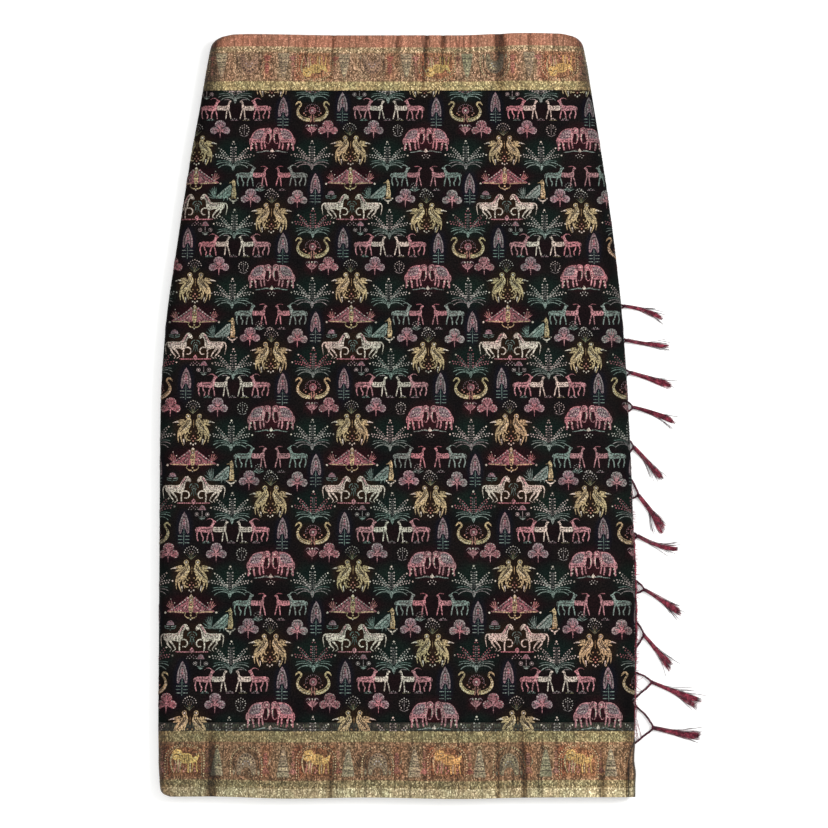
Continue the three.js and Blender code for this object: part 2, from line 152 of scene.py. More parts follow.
def new_finish(name, roughness, **shader_values):
    """A material with its Principled shader, and the tree to add to."""
    material = bpy.data.materials.new(name)
    material.use_nodes = True
    tree = material.node_tree
    shader = tree.nodes["Principled BSDF"]
    shader.inputs["Roughness"].default_value = roughness
    for socket, value in shader_values.items():
        shader.inputs[socket.replace("_", " ")].default_value = value
    return material, tree, shader


def mix(tree, factor, a, b, how="MIX"):
    """Mix two colours, and give the mixed colour's output."""
    settings = {"data_type": "RGBA", "blend_type": how}
    return node(tree, "ShaderNodeMix", settings, i0=factor, i6=a, i7=b).outputs[2]


def multiplied(tree, colour, *layers):
    """A colour, made darker or lighter by one layer after another."""
    for layer in layers:
        colour = mix(tree, 1.0, colour, layer, "MULTIPLY")
    return colour


def rgba(colour):
    """A grey given as one number, or a colour as three, as the four numbers of a colour socket."""
    return colour if np.size(colour) == 4 else (*np.broadcast_to(colour, 3).tolist(), 1.0)


def ramp(tree, factor, stops, how="LINEAR"):
    """A colour ramp through (position, colour or grey) stops."""
    made = node(tree, "ShaderNodeValToRGB", Fac=factor)
    band = made.color_ramp
    band.interpolation = how
    for at, colour in stops[1:-1]:
        band.elements.new(at).color = rgba(colour)
    ends = (band.elements[0], band.elements[len(band.elements) - 1])
    for element, (at, colour) in zip(ends, (stops[0], stops[-1])):
        element.position = at
        element.color = rgba(colour)
    return made.outputs["Color"]


def maths(tree, what, a, b=0.0):
    """One step of arithmetic in a shader."""
    return node(tree, "ShaderNodeMath", {"operation": what}, i0=a, i1=b).outputs[0]


floor_finish, _, floor_shader = new_finish("studio_floor", 0.9)
floor_shader.inputs["Base Color"].default_value = linear((251, 251, 250))
floor_shader.inputs["Emission Color"].default_value = (1, 1, 1, 1)
floor_shader.inputs["Emission Strength"].default_value = FLOOR_GLOW
floor_mesh.materials.append(floor_finish)
print("helpers ready")

# %% [markdown]
# ## The shape of the fold
# Seen from above, the folded saree is a tall, slightly tapered rectangle whose sides bulge. Its sides
# are folds: the front layer runs round them and in again under the stack. Its upper and lower ends are
# selvedges. Everything that lies on the front layer has to follow the same shape, so the shape is
# written once, as functions of a flat cloth: `u` across and `v` along, in millimetres. A table gives
# each outline, and a smooth curve runs through its rows.

# %% Outlines and waves, in millimetres
HALF = 575  # half the cloth's width, selvedge to selvedge
OUTLINE_V = [-575, -572, -567, -556, -480, -365, -250, -135, 0, 115, 230, 360, 465, 545, 560, 568, 572.5, 575]
OUTLINE_LEFT = [-322, -330, -334.5, -336.5, -340.5, -343, -345.5, -348, -350.3, -346, -333.5, -317.5, -302]
OUTLINE_LEFT += [-290.5, -287.5, -281.5, -274, -262]
OUTLINE_RIGHT = [343, 343, 343, 343, 344, 347.5, 349.5, 348.5, 345.8, 341, 332, 317.5, 303.5, 292, 289]
OUTLINE_RIGHT += [283.5, 276, 264]
UPPER_WAVE = ([-290, -225, -90, 90, 205, 290], [0, 2, 0, 0, 4, 1.5])
LOWER_WAVE = ([-340, -265, -150, -40, 90, 200, 343], [-1, -1.5, 1.5, 0, 2, 0, -0.5])
WAVE_REACH = 130


def smooth(t):
    """0 before 0, 1 after 1, and an even S between them."""
    t = np.clip(t, 0, 1)
    return t * t * (3 - 2 * t)


def along(places, values, at):
    """A smooth curve through a table, which never swings past its rows."""
    places = np.array(places, float)
    values = np.array(values, float)
    slope = np.diff(values) / np.diff(places)
    tangent = np.concatenate(([slope[0]], np.zeros(len(places) - 2), [slope[-1]]))
    before, after = slope[:-1], slope[1:]
    same = before * after > 0
    tangent[1:-1][same] = 2 * before[same] * after[same] / (before[same] + after[same])
    at = np.clip(at, places[0], places[-1])
    i = np.clip(np.searchsorted(places, at, side="right") - 1, 0, len(places) - 2)
    span = places[i + 1] - places[i]
    t = (at - places[i]) / span
    start = (2 * t**3 - 3 * t**2 + 1) * values[i] + (t**3 - 2 * t**2 + t) * span * tangent[i]
    return start + (3 * t**2 - 2 * t**3) * values[i + 1] + (t**3 - t**2) * span * tangent[i + 1]


def left_edge(v):
    return along(OUTLINE_V, OUTLINE_LEFT, v)


def right_edge(v):
    return along(OUTLINE_V, OUTLINE_RIGHT, v)


def waved(x, v):
    """Lines across the cloth bow a little near the selvedges."""
    up = along(*UPPER_WAVE, x) * smooth((v - HALF + WAVE_REACH) / WAVE_REACH)
    down = along(*LOWER_WAVE, x) * smooth((-v - HALF + WAVE_REACH) / WAVE_REACH)
    return v + up - down


print("widest:", round(float(right_edge(-200) - left_edge(-200)), 1), "mm")

# %% [markdown]
# ## Creases
# Cloth that has been stored folded keeps soft lines. Here they run in from the two selvedges and fade
# out towards the middle. Each is a trough with a low ridge at each side, and each has its own width,
# depth and reach, because a real cloth never repeats them. The field itself is nearly flat, with a
# very low rumple.

# %% Creases and the height of the face
FACE_HEIGHT = 17
END_DROOP = 1.0
DROOP_REACH = 14
BEND_ACROSS = 12  # half width of a side fold
BEND_DOWN = 7.75  # half its height
CALM_MARGIN = 20
RIDGE_SHARE = 0.3
HEM_SHARE = 0.55  # of a crease's depth is left at the hem
CREASES = [  # where, lean, half width, depth, and how far in from the selvedge it fades
    (-261, 0.02, 15, 2.2, -175),
    (-246, 0.03, 4, 0.7, -110),
    (-93, 0.0, 12, 1.0, -135),
    (-52, -0.02, 5, 0.6, -90),
    (60, 0.01, 6, 0.5, -80),
    (147, 0.0, 8, 1.5, -155),
    (184, 0.02, 9, 2.0, -185),
    (232, -0.02, 5, 0.8, -120),
    (296, 0.0, 9, 1.5, -145),
    (-238, 0.02, 5, 0.7, 90),
    (-140, 0.0, 12, 0.6, 145),
    (-97, 0.05, 6, 1.7, 135),
    (-76, 0.05, 3, 0.6, 70),
    (2, 0.03, 6, 1.4, 125),
    (47, 0.07, 6, 2.2, 155),
    (72, 0.05, 6, 1.9, 125),
    (114, 0.02, 5, 0.7, 80),
    (160, 0.0, 18, 2.1, 175),
    (205, -0.03, 6, 0.8, 90),
]
RUMPLES = [  # height, waves across and along the whole cloth, and where they start
    (0.16, 5.3, 2.1, 0.4),
    (0.12, -3.7, 4.3, 2.1),
    (0.09, 9.1, 5.7, 1.2),
]


def bend_top(v):
    return FACE_HEIGHT - END_DROOP * smooth(1 - (HALF - np.abs(v)) / DROOP_REACH)


def crease_depth(x, v):
    """How far the creases pull the cloth down at a point; a ridge beside a trough counts as negative."""
    total = np.zeros(np.broadcast(x, v).shape)
    for where, lean, half, depth, fades in CREASES:
        inwards = np.abs(v - math.copysign(HALF, fades))
        strength = depth * smooth(1 - inwards / abs(fades))
        off = np.abs(x - where + lean * inwards) / half
        trough = 1 - smooth(off) * (1 + RIDGE_SHARE)
        total += strength * np.where(off < 1, trough, -RIDGE_SHARE * smooth(2 - off))
    return total


def face_height(x, v):
    """Height of the front layer's face between its side folds."""
    inside = np.minimum(x - left_edge(v), right_edge(v) - x) - BEND_ACROSS
    height = -crease_depth(x, v)
    for high, across, down, start in RUMPLES:
        height = height + high * np.sin(2 * math.pi * (across * x + down * v) / (2 * HALF) + start)
    hem = smooth((HALF - np.abs(v)) / DROOP_REACH)
    return bend_top(v) + smooth(inside / CALM_MARGIN) * height * (HEM_SHARE + (1 - HEM_SHARE) * hem)


TROUGH_FULL = 1.75  # depth at which a trough is at its darkest
TROUGH_DARKENS = 0.8
SIDE_REACH = 26
SIDE_DARKENS = 0.55


def cloth_shade(u, v):
    """How light the cloth looks: darker in a trough, and where it turns down at a side fold."""
    trough = smooth(crease_depth(u, v) / TROUGH_FULL)
    inside = np.minimum(u - left_edge(v), right_edge(v) - u)
    side = smooth(1 - inside / SIDE_REACH)
    return (1 - TROUGH_DARKENS * trough) * (1 - SIDE_DARKENS * side)


print(len(CREASES), "creases")

# %% [markdown]
# ## From flat cloth to folded cloth
# A side fold is half an ellipse. Cloth doesn't stretch, so a point that lies some way past the start
# of the fold on the flat cloth lies as far round the ellipse. A table of the arc's length against its
# angle, read backwards, gives the angle for each distance. Past the ellipse the cloth runs in flat
# under the stack.

# %% Wrap flat points onto the fold
ARC_ANGLES = np.radians(np.linspace(90, -90, 181))
arc_steps = np.hypot(np.diff(BEND_ACROSS * np.cos(ARC_ANGLES)), np.diff(BEND_DOWN * np.sin(ARC_ANGLES)))
ARC_LENGTHS = np.concatenate(([0], np.cumsum(arc_steps)))
ARC_WHOLE = ARC_LENGTHS[-1]
TURN_UNDER = 24


def arc_to(degrees):
    """Length of cloth from the top of a side fold round to an angle."""
    return np.interp(-np.radians(degrees), -ARC_ANGLES, ARC_LENGTHS)


def wrap(u, v, lift=0.0):
    """Points of the flat cloth, in mm, as points of the folded one, in m, raised by lift."""
    u, v, lift = np.broadcast_arrays(np.asarray(u, float), np.asarray(v, float), np.asarray(lift, float))
    side = np.where(u > 0, 1.0, -1.0)
    fold = np.where(u > 0, right_edge(v), left_edge(v)) - side * BEND_ACROSS
    past = side * (u - fold)
    top = bend_top(v)
    down = top / 2 - (FACE_HEIGHT / 2 - BEND_DOWN)
    angle = np.interp(past, ARC_LENGTHS, ARC_ANGLES)
    normal = np.stack([np.cos(angle) / BEND_ACROSS, np.sin(angle) / down])
    normal = normal / np.hypot(*normal)
    run_on = np.maximum(past - ARC_WHOLE, 0)
    bend_x = fold + side * (BEND_ACROSS * np.cos(angle) - run_on + lift * normal[0])
    bend_z = top - down + down * np.sin(angle) + lift * normal[1]
    step = 0.5
    slope_x = (face_height(u + step, v) - face_height(u - step, v)) / (2 * step)
    slope_v = (face_height(u, v + step) - face_height(u, v - step)) / (2 * step)
    steep = np.sqrt(1 + slope_x**2 + slope_v**2)
    on_face = past <= 0
    x = np.where(on_face, u - lift * slope_x / steep, bend_x)
    z = np.where(on_face, face_height(u, v) + lift / steep, bend_z)
    y = waved(x, v) - np.where(on_face, lift * slope_v / steep, 0)
    return np.stack([x, y, z], axis=-1) * MM


print("cloth round one side fold:", round(float(ARC_WHOLE), 1), "mm")

# %% [markdown]
# At the lower right corner the front layer's edge climbs from under the stack, round the fold and up
# onto it, and the next layer shows there. So the flat cloth has a right-hand edge that depends on `v`.

# %% The flat cloth's own edges
TURN_V = [-575, -540, -515, -500, -490, -481, -472, -425]
TURN_TO = [82, 79, 66, 44, 10, -40, -90, -90]
TURN_RUNS_ON = [-2.6, -2.4, -1.6, 0, 1.2, 1.5, 2, TURN_UNDER]


def flat_right(v):
    turn = arc_to(along(TURN_V, TURN_TO, v))
    return right_edge(v) - BEND_ACROSS + turn + along(TURN_V, TURN_RUNS_ON, v)


def flat_left(v):
    return left_edge(v) + BEND_ACROSS - ARC_WHOLE - TURN_UNDER


print("front layer, flat, at the middle:", round(float(flat_right(0) - flat_left(0)), 1), "mm")

# %% [markdown]
# ## Shells of cloth
# Each woven piece is a grid of points on the flat cloth, wrapped on the fold. Its UV map keeps the flat
# place of each point in metres, so a weave or a stripe follows the cloth round the fold. A Solidify
# modifier then gives the shell its wall, inwards.

# %% Make a shell from a grid
CLOTH = 1.0
FACE_STEP = 4.0
FACE_ACROSS = 676  # about the face's width, between its side folds
FOLD_STEPS = 18


def link(name, mesh, finish):
    """Put a mesh in the scene as a piece, at the origin."""
    made = in_scene(name, mesh)
    if not mesh.materials:
        mesh.materials.append(finish)
    mesh.shade_smooth()
    return made


def mesh_of(name, corners, faces):
    """A mesh from some arrays of points, and the faces between them."""
    mesh = bpy.data.meshes.new(name)
    mesh.from_pydata(np.concatenate(corners).tolist(), [], faces)
    return mesh


def keep_flat(mesh, flat):
    """Write the flat place of each point, in metres, as the UV map."""
    corner = np.empty(len(mesh.loops), dtype=np.int32)
    mesh.loops.foreach_get("vertex_index", corner)
    uv = mesh.uv_layers.new(name="flat")
    uv.data.foreach_set("uv", flat[corner].astype(np.float32).ravel())


def grid_mesh(name, u, v, points):
    """A sheet through a grid of points, rows along v, with the flat place as its UV map."""
    number = np.arange(u.size).reshape(u.shape)
    quads = np.stack([number[:-1, :-1], number[:-1, 1:], number[1:, 1:], number[1:, :-1]], axis=-1)
    mesh = mesh_of(name, [points.reshape(-1, 3)], quads.reshape(-1, 4).tolist())
    keep_flat(mesh, np.stack([u, v], axis=-1).reshape(-1, 2) * MM)
    return mesh


def wall(piece):
    """Give a shell the cloth's thickness, inwards, and apply it."""
    solidify = piece.modifiers.new("wall", "SOLIDIFY")
    solidify.thickness = CLOTH * MM
    solidify.offset = -1
    solidify.use_rim = True
    return made_plain(piece)


def evaluated(made):
    """The mesh that an object's modifiers make."""
    graph = bpy.context.evaluated_depsgraph_get()
    return bpy.data.meshes.new_from_object(made.evaluated_get(graph))


def made_plain(piece):
    """Replace a piece's mesh by what its modifiers make of it."""
    plain = evaluated(piece)
    piece.modifiers.clear()
    piece.data = plain
    return piece


def rows(from_v, to_v, step, *more):
    """Places along v for the rows of a grid: even ones, and some more where the outline turns."""
    count = max(2, round((to_v - from_v) / step))
    extra = [v for v in more if from_v < v < to_v]
    return np.unique(np.concatenate([np.linspace(from_v, to_v, count + 1), extra]))


def front_grid(v):
    """Flat places of a stretch of the front layer: even on its face, even round its side folds."""
    face_left = left_edge(v) + BEND_ACROSS
    face_right = right_edge(v) - BEND_ACROSS
    columns = round(FACE_ACROSS / FACE_STEP)
    share = np.linspace(0, 1, FOLD_STEPS + 1)[None, :]
    start, end = flat_left(v)[:, None], flat_right(v)[:, None]
    left = start + (face_left[:, None] - start) * share
    face = face_left[:, None] + (face_right - face_left)[:, None] * np.linspace(0, 1, columns)[None, :]
    right = face_right[:, None] + (end - face_right[:, None]) * share
    u = np.concatenate([left[:, :-1], face, right[:, 1:]], axis=1)
    return u, np.repeat(v[:, None], u.shape[1], axis=1)


print("shell helpers ready")

# %% [markdown]
# ## Finish of the black field
# The ground is black silk. Close up it is a plain weave of fine threads; from a step away it is nearly
# black, with a faint stain of colour wherever the coloured weft of the figures runs along under it. The
# stains, with painted shade in the creases and at the side folds, come from a vertex colour, and the weave
# from two crossed waves on the flat UV map.

# %% Field finish
WEAVE_PITCH = 0.62 * MM
GROUND = linear((21, 18, 18))


def flat_place(tree):
    """The flat UV map, in metres."""
    return node(tree, "ShaderNodeUVMap", {"uv_map": "flat"}).outputs[0]


def painted(tree, name):
    """A colour that is painted on the piece's points."""
    return node(tree, "ShaderNodeVertexColor", {"layer_name": name}).outputs[0]


def stretched(tree, place, *scale):
    """The place, scaled along each axis, which draws a pattern out."""
    return node(tree, "ShaderNodeMapping", Vector=place, Scale=scale).outputs[0]


def threads(tree, place, direction, pitch, wobble=0.4):
    """Even waves across the flat cloth, one for each thread."""
    wave = node(
        tree,
        "ShaderNodeTexWave",
        {"bands_direction": direction},
        Vector=place,
        Scale=math.pi / 10 / pitch,
        Distortion=wobble,
        Detail=1.0,
        Detail_Scale=2.0,
    )
    return wave.outputs["Fac"]


def noise(tree, place, scale, detail=3.0, rough=0.55):
    """Soft noise, 0 to 1."""
    made = node(tree, "ShaderNodeTexNoise", Vector=place, Scale=scale, Detail=detail, Roughness=rough)
    return made.outputs["Fac"]


def surface(tree, shader, colour, height, distance, strength=1.0):
    """Give a finish its colour, and a bump by a height, 0 to 1, over a distance in metres."""
    tree.links.new(colour, shader.inputs["Base Color"])
    bump = node(tree, "ShaderNodeBump", Height=height, Distance=distance, Strength=strength)
    tree.links.new(bump.outputs[0], shader.inputs["Normal"])


def field_finish():
    material, tree, shader = new_finish("black_silk_brocade", 0.62, Specular_IOR_Level=0.03)
    place = flat_place(tree)
    warp, weft = (threads(tree, place, way, WEAVE_PITCH) for way in "XY")
    weave = maths(tree, "MULTIPLY", warp, weft)
    grit = noise(tree, place, 420, 2.0, 0.7)
    speck = ramp(tree, grit, [(0.36, (0.45, 0.45, 0.5)), (0.52, 1), (0.7, (1.9, 1.7, 1.65))])
    cloudy = ramp(tree, noise(tree, place, 26), [(0.3, (0.7, 0.74, 0.85)), (0.7, (1.3, 1.22, 1.15))])
    shade = ramp(tree, weave, [(0.0, 0.62), (0.8, 1.15)])
    # The painted vertex colour holds the ground's stains and the painted shade of its creases and side folds.
    colour = multiplied(tree, painted(tree, "stain_and_shade"), speck, cloudy, shade)
    surface(tree, shader, colour, weave, 0.12 * MM, 0.6)
    return material


silk_ground = field_finish()
print("field finish:", silk_ground.name)

# %% [markdown]
# ## Figures of coloured yarn
# The figures are woven with extra coloured weft that floats on the face. Each float stands a little
# proud of the ground, so a figure is made of raised strips and patches with their edges let into the
# cloth. A short chart says which ones: a yarn, a tool and its points, in millimetres from the figure's
# middle. Most figures are pairs that face each other, so only the right half is charted.
#
# They are traditional kinds, newly drawn for this cloth.

# %% Yarns
YARNS = {
    "pink": (184, 128, 132),
    "rose": (150, 92, 98),
    "coral": (180, 124, 108),
    "rust": (148, 92, 74),
    "wine": (48, 18, 24),
    "gold": (188, 166, 124),
    "amber": (150, 120, 80),
    "brown": (44, 28, 18),
    "olive": (122, 118, 86),
    "sage": (160, 144, 116),
    "honey": (214, 174, 106),
    "straw": (210, 190, 146),
    "cream": (206, 194, 178),
    "pearl": (178, 170, 162),
    "grey": (136, 128, 126),
    "mauve": (136, 112, 118),
    "taupe": (142, 120, 96),
    "teal": (94, 114, 106),
    "mist": (126, 142, 133),
    "fern": (58, 78, 70),
}
YARN_GROUPS = {
    "rose_figures": ("pink", "rose", "coral", "wine"),
    "gold_figures": ("gold", "amber", "brown", "olive"),
    "pale_figures": ("cream", "pearl", "grey", "mauve"),
    "green_figures": ("teal", "mist", "fern"),
}

# %% [markdown]
# ### Strips, patches and dots
# A strip has three points across: its two edges just under the face of the cloth, and its middle above
# it. A patch has a sunk outline and a raised top a little further in. A dot is a small cone.

# %% The three tools
FLOAT_EDGE = -0.06  # how far a float's edge is let into the ground
FLOAT_CREST = 0.3
LEVEL = 0.16  # one float on top of another
STRIP_STEP = 2.6  # length of strip between two rows of points


def rounded(points, closed=False, step=STRIP_STEP):
    """A smooth curve through some points."""
    points = np.array(points, float)
    if len(points) < 3 and not closed:
        count = max(2, round(np.hypot(*(points[1] - points[0])) / (1.6 * step)) + 1)
        return points[0] + (points[1] - points[0]) * np.linspace(0, 1, count)[:, None]
    if closed:
        ring = np.concatenate([points[-1:], points, points[:2]])
    else:
        ring = np.concatenate([2 * points[:1] - points[1:2], points, 2 * points[-1:] - points[-2:-1]])
    out = []
    for a, b, c, d in zip(ring, ring[1:], ring[2:], ring[3:]):
        count = max(1, round(np.hypot(*(c - b)) / step))
        t = (np.arange(count) / count)[:, None]
        bend = 2 * a - 5 * b + 4 * c - d
        twist = 3 * b - a - 3 * c + d
        out.append(0.5 * (2 * b + (c - a) * t + bend * t**2 + twist * t**3))
    if not closed:
        out.append(points[-1:])
    return np.concatenate(out)


def leftwards(ahead):
    """A unit step to the left of each direction."""
    ahead = ahead / np.maximum(np.hypot(*ahead.T), 1e-6)[:, None]
    return np.column_stack([-ahead[:, 1], ahead[:, 0]])


def turning(ring):
    """Twice the area inside a flat ring, below 0 where it runs clockwise."""
    after = np.roll(ring, -1, axis=0)
    return np.sum(ring[:, 0] * after[:, 1] - ring[:, 1] * after[:, 0])


def strip(points, width, shape):
    """A float along some points: an even line, a blade with two thin ends, or a spike with one."""
    path = rounded(points)
    share = np.linspace(0, 1, len(path))
    at_end = (share == 0) | (share == 1)
    profile = {
        "line": np.where(at_end, 0.62, 1.0),
        "blade": np.maximum(np.sin(math.pi * share) ** 0.7, 0.14),
        "spike": 1 - 0.82 * share,
    }[shape]
    aside = leftwards(np.gradient(path, axis=0)) * (profile * width / 2)[:, None]
    count = len(path)
    high = np.where(at_end, 0.1, FLOAT_CREST)
    low = np.full(count, FLOAT_EDGE)
    corners = np.concatenate(
        [np.column_stack([p, z]) for p, z in ((path + aside, low), (path, high), (path - aside, low))]
    )
    i = np.arange(count - 1)
    faces = [(a, b, b + count, a + count) for a, b in zip(i, i + 1)]
    faces += [(a + count, b + count, b + 2 * count, a + 2 * count) for a, b in zip(i, i + 1)]
    return corners, faces


RIM = 0.45  # how far in from its outline a patch reaches its full height


def patch(points, smooth_outline=True):
    """A filled shape with a sunk outline and a raised top."""
    outline = rounded(points, closed=True, step=3.4) if smooth_outline else np.array(points, float)
    if turning(outline) < 0:
        outline = outline[::-1]
    top = outline + leftwards(np.roll(outline, -1, axis=0) - np.roll(outline, 1, axis=0)) * RIM
    count = len(outline)
    corners = np.concatenate(
        [
            np.column_stack([outline, np.full(count, FLOAT_EDGE)]),
            np.column_stack([top, np.full(count, FLOAT_CREST)]),
        ]
    )
    faces = [(i, (i + 1) % count, (i + 1) % count + count, i + count) for i in range(count)]
    filled = tessellate_polygon([[Vector((x, y, 0)) for x, y in top]])
    faces += [tuple(i + count for i in face) for face in filled]
    return corners, faces


def dot(x, y, radius, sides=6):
    turn = np.arange(sides) * 2 * math.pi / sides
    ring = np.column_stack(
        [x + radius * np.cos(turn), y + radius * np.sin(turn), np.full(sides, FLOAT_EDGE)]
    )
    corners = np.concatenate([ring, [[x, y, FLOAT_CREST + 0.1]]])
    return corners, [(i, (i + 1) % sides, sides) for i in range(sides)]


def circle(x, y, radius, count=10):
    """Points on a circle, for a round patch or a ring of dots."""
    turn = np.arange(count) * 2 * math.pi / count
    return [(x + radius * math.cos(a), y + radius * math.sin(a)) for a in turn]


print("tools: strip, patch, dot")

# %% [markdown]
# ### Reading a chart
# Each line of a chart is `yarn tool size: x,y x,y ...`. `+` before the yarn puts that float one level
# higher, over the others. The tools are `area` (a filled shape), `line`, `blade` and `spike` (strips),
# `dots`, `disc` (round patches), `ring` (a round line), `row` (evenly spaced dots between points) and
# `fan` (blades from one point to each of the others).


# %% Read and place a chart
ROW_SPACING = 3.5  # from dot to dot, in dot radii
RING_WIDTH = 1.4


def drawn(tool, size, points):
    """The little meshes that one line of a chart stands for."""
    if tool == "area":
        return [patch(points)]
    if tool in ("line", "blade", "spike"):
        return [strip(points, size, tool)]
    if tool == "dots":
        return [dot(x, y, size) for x, y in points]
    if tool == "disc":
        return [patch(circle(x, y, size), smooth_outline=False) for x, y in points]
    if tool == "ring":
        return [strip(circle(x, y, size, 8) + [(x + size, y)], RING_WIDTH, "line") for x, y in points]
    if tool == "row":
        path = rounded(points, step=0.5)
        reach = np.concatenate([[0], np.cumsum(np.hypot(*np.diff(path, axis=0).T))])
        at = np.arange(0, reach[-1] + 0.1, size * ROW_SPACING)
        xs, ys = np.interp(at, reach, path[:, 0]), np.interp(at, reach, path[:, 1])
        return [dot(x, y, size, 5) for x, y in zip(xs, ys)]
    if tool == "fan":
        return [strip([points[0], tip], size, "blade") for tip in points[1:]]
    raise ValueError(tool)


def read_chart(text):
    """A chart's lines as (yarn, level, tool, size, points)."""
    floats = []
    for line in text.strip().splitlines():
        head, places = line.split(":")
        yarn, tool, *size = head.split()
        level = len(yarn) - len(yarn.lstrip("+"))
        points = [tuple(float(c) for c in place.split(",")) for place in places.split()]
        floats.append((yarn.lstrip("+"), level, tool, float(size[0]) if size else 0.0, points))
    return floats


def halves(tool, points):
    """A line's points and their mirror image, as one shape where it lies across the middle."""
    other = [(-x, y) for x, y in points]
    if tool == "area" and points[0][0] == points[-1][0] == 0:
        return [points + other[-2:0:-1]]
    if tool in ("dots", "disc", "ring"):
        return [points + [spot for spot in other if spot[0] != 0]]
    if all(x == 0 for x, _ in points):
        return [points]
    if tool == "fan":
        return [points, other[:1] + [tip for tip in other[1:] if tip[0] != 0]]
    return [points, other]


BASE_LEVEL = {"area": 0, "disc": 0}
OVER_SCALE = 1.5  # floats that lie on others are coarser than charted


def paint(mesh, name, colours):
    """Write one colour, of three numbers, for each point."""
    full = np.concatenate([colours.reshape(-1, 3), np.ones((colours.size // 3, 1))], axis=1)
    layer = mesh.color_attributes.new(name, "FLOAT_COLOR", "POINT")
    layer.data.foreach_set("color", full.astype(np.float32).ravel())


class Figures:
    """Gathers floats by yarn, ready to be made into meshes."""

    def __init__(self):
        self.floats = {yarn: [] for yarn in YARNS}

    def place(self, chart, x, y, mirrored=True, turned=1, other_yarns=None):
        """Put a chart's figure at a place; turned is -1 for one that stands on its head."""
        for yarn, level, tool, width, points in read_chart(chart):
            yarn = (other_yarns or {}).get(yarn, yarn)
            lift = LEVEL * (level + BASE_LEVEL.get(tool, 1))
            width *= OVER_SCALE if level and tool != "ring" else 1
            for half in halves(tool, points) if mirrored else [points]:
                for corners, faces in drawn(tool, width, half):
                    spot = corners * (1, turned, 1) + (x, y, lift)
                    self.floats[yarn].append((spot, faces))

    def mesh(self, name, yarns):
        """One flat mesh of some yarns, with each corner's yarn as its colour."""
        corners, faces, colours, start = [], [], [], 0
        for yarn in yarns:
            for spot, small in self.floats[yarn]:
                corners.append(spot)
                faces += [tuple(i + start for i in face) for face in small]
                colours += [linear(YARNS[yarn])[:3]] * len(spot)
                start += len(spot)
        mesh = mesh_of(name, corners, faces)
        paint(mesh, "yarn", np.array(colours))
        divide_long_edges(mesh)
        return mesh


LONGEST_EDGE = 7.0


def divide_long_edges(mesh):
    """Cut up large faces, so that they can bend with the cloth."""
    work = bmesh.new()
    work.from_mesh(mesh)
    for _ in range(3):
        long_edges = [edge for edge in work.edges if edge.calc_length() > LONGEST_EDGE]
        if not long_edges:
            break
        bmesh.ops.subdivide_edges(work, edges=long_edges, cuts=1)
        bmesh.ops.triangulate(work, faces=[face for face in work.faces if len(face.verts) > 4])
    work.to_mesh(mesh)
    work.free()


print("chart reader ready")

# %% [markdown]
# ### Charts of the animals
# Each chart but the peacock's is the right half of a pair. The body is one area; the legs, tails and
# trunks are spikes and lines; cloths, stripes and eyes lie one or two levels higher.

# %% Animals
ELEPHANTS = """
pink disc 5.2: 6,14
pink area: 9.4,17.8 14,17.6 20,17 26,14 30.8,8 33,1 33,-5 30,-6 27,-4.4 20,-4.6 14,-4.6 11,-2 \
9.4,4 8.6,9
pink line 2.7: 31.6,-4.6 31.8,-11 32.4,-18
pink line 2.5: 26,-4 24.6,-11 23.2,-18
pink line 2.4: 16.4,-4 16.4,-10 15.2,-16.4
pink line 2.2: 12,-1 11.4,-8 10.2,-14.6
pink line 1.4: 33,3 34.6,-2 34,-8
pink spike 3.2: 3,11 2,4.6 3,-2 5.4,-6.6 8.2,-6.4 8.6,-4
+cream line 0.7: 4,9 3,4 3.8,-2
+mauve area: 12.6,13.6 16,15.8 21,15.2 26,12.4 29.6,6.6 30.4,1 25,0.2 19,0.6 14.6,4
++grey row 0.8: 14,12.6 20,13.4 26,10.4
++cream row 0.65: 14.4,10 20,10.6 27,7.4
++wine row 0.75: 15,7.4 20.4,7.8 28,4.4
++cream row 0.65: 16,4.6 21,5 28.6,2
+wine line 0.9: 9.6,18.4 11.6,14.4 10.2,10
+cream row 0.65: 11.2,8 12.2,3 13,-3
+wine row 0.65: 14.6,-1.6 21,-1.8 29,-2
+wine line 0.8: 4.6,17.4 7.6,16.6 8.8,12.6 6.4,10.4
+cream dots 0.9: 5,14 30,-8 24.4,-8 30.6,-14
wine line 1.4: 0,17 0,3
wine line 1.2: 5.4,3 5.8,-3
wine line 1.2: 19.6,-7 19.8,-15
mist line 1.2: 2,-19.6 9,-18.6 16,-20 24,-20.8
pearl row 0.6: 6,-17.4 14,-18.2
cream area: 0,-14 2,-17 3.6,-19.4 0,-21
pearl dots 0.95: 2,-24.4 5.4,-26 0,-27.4 3.2,-29.4
"""
